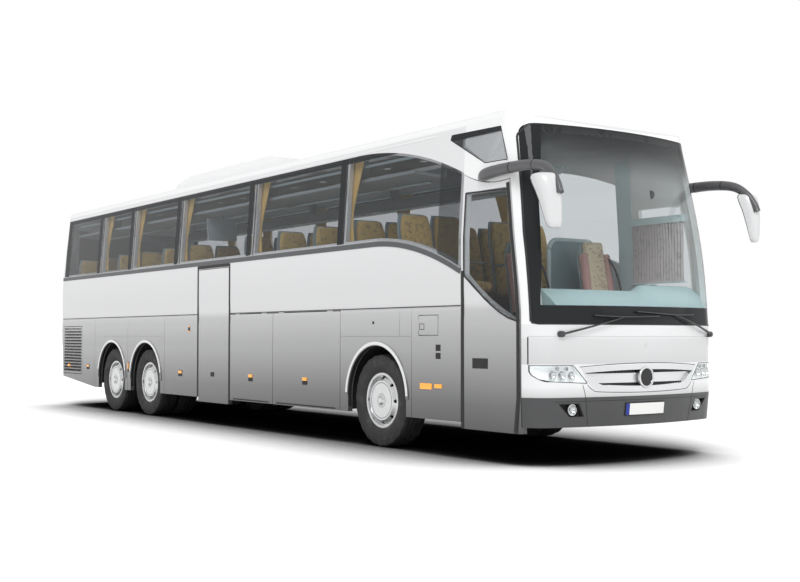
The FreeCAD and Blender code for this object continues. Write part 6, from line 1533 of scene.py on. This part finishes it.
class Drape:
    """A pleated cloth on one side wall; its pleats deepen where it is gathered."""

    def __init__(self, side: Side, levels: Sequence[tuple[float, float, float]], cloth_width: float, pleats: int,
                 inset: float) -> None:
        """Take its form.

        Args:
            side: the wall that it hangs on.
            levels: (height, first station, last station) from top to foot.
            cloth_width: width of the flat cloth.
            pleats: full waves of its folds.
            inset: how far its middle lies inside the outer skin.
        """
        self.side, self.levels, self.cloth_width = side, levels, cloth_width
        self.pleats, self.inset = pleats, inset

    def build(self, name: str, finish: Finish, rows_down: int = 22, thick: float = 0.0012) -> bpy.types.Object:
        level = along(self.levels, rows_down)
        share = np.linspace(0.0, 1.0, self.pleats * 6 + 1)
        z = level[:, :1] + 0 * share
        run = level[:, 2:] - level[:, 1:2]
        s = level[:, 1:2] + run * share
        slope = np.sqrt(np.clip((self.cloth_width / run) ** 2 - 1.0, 0.0, None)) * 1.15
        depth = np.minimum(slope * run / self.pleats / 2 / math.pi, 0.0175)
        wave = depth * np.sin(2 * math.pi * self.pleats * share + 0.5 * np.sin(3.0 * z))
        skin = [FORM.side_at(s, z, self.side.value, wave - self.inset + lift) for lift in (thick / 2, -thick / 2)]
        stands_for = ("curtains",) if finish is CURTAIN else ()
        thing = Shape().slab(*skin).piece(name, finish, smooth=80.0, replaces=stands_for)
        "window_rail_" + self.side.label
        return thing


class Cabin:
    """Fittings that show through the glass."""

    def rails(self, side: Side) -> None:
        """Curtain rail over the windows, its pale cover and the strip lights under the rack."""
        s = np.linspace(2.32, 12.44, 60)
        cover = Shape()
        for low, high, near, far in ((3.192, 3.228, 0.068, 0.112), (3.12, 3.15, 0.125, 0.15)):
            cover.bar([FORM.side_at(s, z, side.value, -inset)
                       for inset, z in ((near, low), (far, low), (far, high), (near, high))])
        cover.piece(f"window_rail_{side.label}", RAIL)
        light = Shape()
        for front, back in zip((2.45,) + JOINTS, JOINTS + (12.3,)):
            run = FORM.y(np.linspace(front + 0.12, back - 0.12, 12))
            light.bar([np.stack([np.full_like(run, side.value * x), run, np.full_like(run, z)], -1)
                       for x, z in ((0.655, 2.918), (0.70, 2.921), (0.70, 2.905), (0.655, 2.902))])
        light.piece(f"strip_lights_{side.label}", RAIL)

    def curtains(self, side: Side) -> None:
        """A tied curtain at every window post, each with its band."""
        for number, joint in enumerate(JOINTS):
            name = f"{side.label}_{number + 1}"
            levels = [(z, joint - half, joint + half) for z, half in
                      ((3.19, 0.218), (2.95, 0.15), (2.72, 0.078), (2.60, 0.05), (2.48, 0.066), (2.29, 0.108))]
            Drape(side, levels, 0.72, 11, 0.0835).build(f"curtain_{name}", CURTAIN)
            turn = np.linspace(0.0, 2 * math.pi, 25)[:-1]
            spot = FORM.side_at(joint + 0.055 * np.cos(turn), 2.60, side.value, -0.0835 + 0.0205 * np.sin(turn))
            rise = np.array([[0.0, 0.0, -0.016], [0.0, 0.0, 0.016]])
            outer = spot[None] + rise[:, None]
            middle = spot.mean(0)
            inner = middle + (outer - middle) * np.array([0.93, 0.93, 1.0])
            inner[..., 2] = outer[..., 2]
            Shape().patch(np.stack([outer[0], outer[1], inner[1], inner[0], outer[0]]), wrap=True).piece(
                f"curtain_band_{name}", CURTAIN)

    def driver_blind(self) -> None:
        """Grey pleated blind with its rail in the driver's window."""
        rail = Shape()
        for low, high in ((2.425, 2.50), (1.775, 1.79)):
            s = np.linspace(0.535, 1.30, 9)
            rail.bar([FORM.side_at(s, z, 1.0, -inset)
                      for inset, z in ((0.066, low), (0.098, low), (0.098, high), (0.066, high))])
        rail.piece("driver_blind_rails", RAIL)
        levels = ((2.425, 0.55, 1.28), (2.20, 0.555, 1.275), (2.0, 0.56, 1.27), (1.79, 0.55, 1.28))
        Drape(Side.LEFT, levels, 1.06, 18, 0.083).build("driver_blind", BLIND, rows_down=8)

    def screen(self) -> None:
        """Shaped cover of the screen behind the driver, with its rim."""
        low_x, high_x, top, corner, mid_s = 0.443, 1.157, 2.287, 0.127, 1.8425
        turn = np.linspace(0, QUARTER, 8)
        arch = [(high_x - corner + corner * math.cos(t), top - corner + corner * math.sin(t)) for t in turn]
        arch += [(low_x + corner - corner * math.sin(t), top - corner + corner * math.cos(t)) for t in turn]
        ring = [(low_x, 1.01), (high_x, 1.01)] + arch
        x, z = rows(ring, 26, 9)
        plate = [np.stack([x, np.full_like(x, FORM.y(s)), z], -1) for s in (1.824, 1.861)]
        Shape().slab(*plate).piece("driver_screen", SHELL_GREY)
        edge = np.array([(a, FORM.y(mid_s), b) for a, b in [ring[1]] + arch + [ring[0]]])
        Shape().tube(edge, 0.026, 10).piece("driver_screen_rim", RAIL)

    def posts(self, side: Side) -> None:
        """Pale covers on the inner faces of the window posts and of the door post."""
        cover = Shape()
        lags = (0.0, 0.05, 0.05, 0.05, 0.06)
        strips = [(joint - 0.035 + lag, joint + 0.02 + lag) for joint, lag in zip(JOINTS, lags)]
        for front, back in ([(1.29, 1.51)] if side is Side.LEFT else []) + strips:
            z = np.linspace(1.5, 3.16, 8)
            cover.bar([FORM.side_at(s, z, side.value, -inset)
                       for s, inset in ((front, 0.0602), (back, 0.0602), (back, 0.0665), (front, 0.0665))])
        cover.piece(f"post_covers_{side.label}", RAIL)

    def monitor(self) -> None:
        """Screen that hangs under the rack and looks to the rear seats."""
        case, face, x, s = Shape(), Shape(), -0.80, 7.40
        frame = turned((x, s, 2.74), 8.0, True)
        Pad((0.46, 0.33, 0.05), 0.05, 0.018).into(case, frame)
        Pad((0.40, 0.27, 0.006), 0.1, 0.002).into(face, (frame[0] - 0.026 * frame[3],) + frame[1:])
        case.tube(np.array([(x, FORM.y(s) + 0.02, z) for z in (2.88, 2.925)]), 0.03, 10)
        case.piece("monitor_cases", MONITOR)
        face.piece("monitor_faces", SCREEN_DARK)

    def ceiling(self) -> None:
        """Centre channel of the ceiling with its lamps."""
        s = np.linspace(2.4, 12.2, 50)
        edges = [FORM.roof_at(x, s, out)
                 for x, out in ((-0.34, -0.0605), (0.34, -0.0605), (0.30, -0.088), (-0.30, -0.088))]
        Shape().bar(edges).piece("ceiling_channel", RACK)
        lamps = Shape()
        for place in np.arange(2.8, 12.0, 0.78):
            profile = ((0.0, 0.05), (0.006, 0.05), (0.009, 0.04))
            lamps.lathe(profile, FORM.roof_at(0.0, place, -0.086), (0, 0, -1), 20)
        lamps.piece("ceiling_lamps", LAMP)


class Dashboard:
    """Moulded dashboard with the driver's hood, vents, dials and the steering column's shroud."""

    profile = ((0.42, 0.96), (0.30, 1.06), (0.20, 1.40), (0.20, 1.48), (0.31, 1.568), (0.43, 1.65), (0.49, 1.662),
               (0.55, 1.665), (0.615, 1.64), (0.65, 1.60), (0.69, 1.43), (0.64, 0.96))
    hood_lift = (0.0, 0.0, 0.0, 0.0, 0.06, 0.062, 0.066, 0.058, 0.03, 0.0, 0.0, 0.0)

    def build(self) -> None:
        """Sweep the profile across the cabin, lifted into the hood ahead of the driver."""
        x = np.concatenate([np.linspace(-0.96, 0.30, 22), np.linspace(0.34, 1.24, 36)])
        reach = np.clip(np.minimum((x - 0.36) / 0.12, (1.20 - x) / 0.06), 0.0, 1.0)
        hood = reach ** 2 * (3 - 2 * reach)
        edges = []
        for (s, z), lift in zip(self.profile, self.hood_lift):
            level = z + lift * hood
            wall = FORM.half_width(level) - 0.0605
            across = np.minimum(x, wall)
            ahead = FORM.nose_at(across, level, -0.061)[..., 1]
            edges.append(np.stack([across, np.maximum(FORM.y(s), ahead), level], -1))
        Shape().bar(edges).piece("dashboard_form", DASH, smooth=42.0, replaces=("dashboard",))
        self.details()

    def details(self) -> None:
        """Vents, dials, switches, column shroud and stalks."""
        vents, dials = Shape(), Shape()
        for x in (-0.72, -0.40, -0.05, 0.22):
            frame = turned((x, 0.642, 1.612), 38.0, True)
            for step in (-0.022, 0.0, 0.022):
                Pad((0.15, 0.012, 0.012), 0.05, 0.004).into(vents, (frame[0] + step * frame[2],) + frame[1:])
        vents.piece("dash_vents", SOFT_BLACK)
        for x, radius in ((0.62, 0.05), (0.79, 0.062), (0.96, 0.05)):
            dials.lathe(((0.0, radius), (0.008, radius), (0.010, 0.9 * radius), (0.004, 0.86 * radius)),
                        (x, FORM.y(0.672), 1.585), (0, 0.92, 0.38), 32)
        for x in np.linspace(0.46, 1.12, 9):
            dials.loft((x - 0.02, FORM.y(0.682), 1.46), (x + 0.02, FORM.y(0.700), 1.485), 0.004)
        dials.piece("dash_dials", SOFT_BLACK)
        tilt = math.radians(35.0)
        axis = np.array([0.0, math.sin(tilt), math.cos(tilt)])
        centre = np.array([0.79, FORM.y(0.80), 1.60])
        shroud = Shape().lathe(((-0.33, 0.075), (-0.20, 0.068), (-0.06, 0.052), (-0.035, 0.045)), centre, axis, 28)
        for hand in (-1.0, 1.0):
            stalk = [centre - drop * axis + (hand * reach, 0, 0)
                     for drop, reach in ((0.075, 0.04), (0.07, 0.12), (0.05, 0.185))]
            shroud.tube(along(stalk, 9), 0.009, 8)
        shroud.piece("column_shroud", SOFT_BLACK)


# ---------------------------------------------------------------- tail and roof
class Tail:
    """Lamps, seals, louvres, handle and blank plate of the tail."""

    column_x = 1.105
    lamps = ((1.445, AMBER), (1.325, RED), (1.205, RED), (1.085, LAMP), (0.97, RED))

    def lamp_columns(self) -> None:
        """Five round lenses with bright rims in each column."""
        groups = {"amber": Shape(), "red": Shape(), "lamp": Shape()}
        rims = Shape()
        rim = [(-0.015, 0.0435), (0.006, 0.0435), (0.008, 0.047), (0.005, 0.051), (-0.015, 0.052)]
        for side in Side:
            for z, lens in self.lamps:
                place = FORM.tail_at(side.value * self.column_x, z, 0.0)
                shoulder = 0.009 if z > 1.3 else 0.004
                dome = [(-0.02, 0.0), (-0.02, 0.042), (shoulder, 0.042), (0.011, 0.034), (0.015, 0.02), (0.016, 0.0)]
                groups[lens.name.split("_")[0]].lathe(dome, place, (0, 1, 0), 40)
                rims.lathe(rim, place, (0, 1, 0), 40, closed=True)
        for (name, shape), finish in zip(groups.items(), (AMBER, RED, LAMP)):
            shape.piece("tail_lenses_" + name, finish)
        rims.piece("tail_lens_rims", TRIM)

    def seams(self) -> None:
        """Rubber round the rear window and the joint over the bumper."""
        lines = Shape()
        window = ring_of([(-0.98, 2.33), (0.98, 2.33), (0.98, 3.12), (-0.98, 3.12)], 160)
        lines.ribbon(FORM.tail_at, window, 0.022, 0.0035, closed=True)
        for sign in (-1.0, 1.0):
            post = [(sign * 1.01, 0.90), (sign * 1.20, 0.90), (sign * 1.20, 1.52), (sign * 1.01, 1.52)]
            lines.ribbon(FORM.tail_at, ring_of(post, 90), 0.010, 0.002, closed=True)
        lines.piece("tail_seals", SEAL)
        bead = along([(-1.0, 2.215), (0.0, 2.215), (1.0, 2.215)], 50)
        Shape().ribbon(FORM.tail_at, bead, 0.020, 0.005).piece("tail_bead", TRIM_DULL)

    def louvres(self) -> None:
        """Dark strips as painted shade in the engine lid's slots, with a bright lip over each."""
        slots, lips = Shape(), Shape()
        for z in np.arange(1.50, 1.80, 0.042):
            # Painted shade: a flat dark strip where each slot's shaded opening would be.
            slots.ribbon(FORM.tail_at, along([(-0.62, z), (0.0, z), (0.62, z)], 40), 0.018, 0.001)
            edge = along([(-0.63, z + 0.014), (0.0, z + 0.014), (0.63, z + 0.014)], 40)
            lips.ribbon(FORM.tail_at, edge, 0.009, 0.006)
        slots.piece("lid_slots", SOFT_BLACK, body="engine_lid")
        lips.piece("lid_lips", SILVER, body="engine_lid")

    def fittings(self) -> None:
        """Handle, blank plate with its lamps, reflectors and the high brake lamp."""
        for name, finish, body, plates in (
                ("lid_handle", SOFT_BLACK, "engine_lid", ((-0.11, 0.11, 0.872, 0.902, 0.010),)),
                ("rear_plate_holder", SOFT_BLACK, "engine_lid", ((-0.275, 0.275, 1.035, 1.165, 0.008),)),
                ("rear_plate", PLATE_WHITE, "engine_lid", ((-0.26, 0.26, 1.045, 1.155, 0.0095),)),
                ("plate_lamps", SOFT_BLACK, "engine_lid",
                 ((-0.17, -0.11, 1.178, 1.198, 0.016), (0.11, 0.17, 1.178, 1.198, 0.016))),
                ("tail_reflectors", RED, BODY,
                 ((-1.05, -0.93, 0.655, 0.70, 0.006), (-1.08, -1.02, 3.16, 3.185, 0.008),
                  (0.93, 1.05, 0.655, 0.70, 0.006), (1.02, 1.08, 3.16, 3.185, 0.008),
                  (-0.22, 0.22, 3.165, 3.188, 0.008)))):
            shape = Shape()
            for *rect, out in plates:
                shape.plate(FORM.tail_at, rect, out)
            shape.piece(name, finish, body)

    def build(self) -> None:
        """Make all of it."""
        self.lamp_columns()
        self.seams()
        self.louvres()
        self.fittings()


class Roof:
    """Hatches, gutters and the fans of the air conditioning."""

    unit_top = 3.64

    def hatches(self) -> None:
        """Two escape hatches on their rubber frames."""
        lids, frames = Shape(), Shape()
        for s in (3.75, 10.35):
            for shape, half, base, top, ease in ((frames, 0.40, 0.0005, 0.022, 0.01),
                                                 (lids, 0.38, 0.0225, 0.052, 0.03)):
                u = np.linspace(-1, 1, 17)
                grid_u, grid_v = np.meshgrid(u, u, indexing="ij")
                edge = np.clip((np.maximum(abs(grid_u), abs(grid_v)) - 0.9) / 0.1, 0, 1)
                upper = top - ease * 0.5 * edge ** 2
                shape.slab(FORM.roof_at(half * grid_u, s + half * grid_v, upper),
                           FORM.roof_at(half * grid_u, s + half * grid_v, base))
        lids.piece("roof_hatches", WHITE)
        frames.piece("roof_hatch_frames", SEAL)

    def gutters(self) -> None:
        """Rain channel along both roof edges."""
        rail = Shape()
        for side in Side:
            s = np.linspace(1.75, 12.45, 120)
            rail.ribbon(lambda a, b, out, sign=side.value: FORM.side_at(a, b, sign, out),
                        np.stack([s, np.full_like(s, 3.262)], -1), 0.014, 0.005)
        rail.piece("roof_gutters", WHITE)

    def fans(self) -> None:
        """Round fan grilles of the roof unit."""
        rings, wells, blades = Shape(), Shape(), Shape()
        for s in (6.55, 7.25, 7.95):
            for x in (-0.42, 0.42):
                centre = (x, FORM.y(s), self.unit_top)
                wells.lathe([(0.0005, 0.0), (0.0005, 0.255), (0.004, 0.255), (0.004, 0.0)], centre, (0, 0, 1), 48)
                for radius in (0.27, 0.20, 0.135, 0.07):
                    wire = np.array([(0.0045, -0.005), (0.016, -0.005), (0.016, 0.005), (0.0045, 0.005)]) + (0, radius)
                    rings.lathe(wire, centre, (0, 0, 1), 48, closed=True)
                for turn in np.arange(8) * math.pi / 4:
                    spoke = np.array([(math.cos(turn), math.sin(turn), 0.0)]) * np.linspace(0.02, 0.275, 6)[:, None]
                    blades.tube(np.array(centre) + spoke + (0, 0, 0.0215), 0.005, 6)
                hub = [(0.0045, 0.05), (0.022, 0.05), (0.026, 0.03), (0.026, 0.0), (0.0045, 0.0)]
                blades.lathe(hub, centre, (0, 0, 1), 28)
        wells.piece("fan_wells", SOFT_BLACK)
        rings.piece("fan_rings", SOFT_BLACK)
        blades.piece("fan_wires", SOFT_BLACK)

    def build(self) -> None:
        """Make all of it."""
        self.hatches()
        self.gutters()
        self.fans()


def build_outside() -> None:
    """Everything outside the cabin."""
    for wheel in all_wheels():
        wheel.tyres()
        wheel.trim()
    Nose().build()
    for side in Side:
        SideTrim(side).build()
        Mirror(side).build()
    for wiper in WIPERS:
        wiper.build(["wipers"])
    Tail().build()
    Roof().build()


def build_cabin() -> None:
    """Everything that shows through the glass."""
    PassengerSeats().build()
    CrewSeats().build()
    Dashboard().build()
    cabin = Cabin()
    for side in Side:
        cabin.rails(side)
        cabin.curtains(side)
        cabin.posts(side)
    cabin.driver_blind()
    cabin.screen()
    cabin.monitor()
    cabin.ceiling()


def main() -> None:
    """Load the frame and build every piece."""
    logging.basicConfig(level=logging.INFO, format="%(name)s: %(message)s")
    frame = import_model()
    dress_nodes(frame["nodes"])
    build_outside()
    build_cabin()
    Studio().build()


if __name__ == "__main__":
    main()
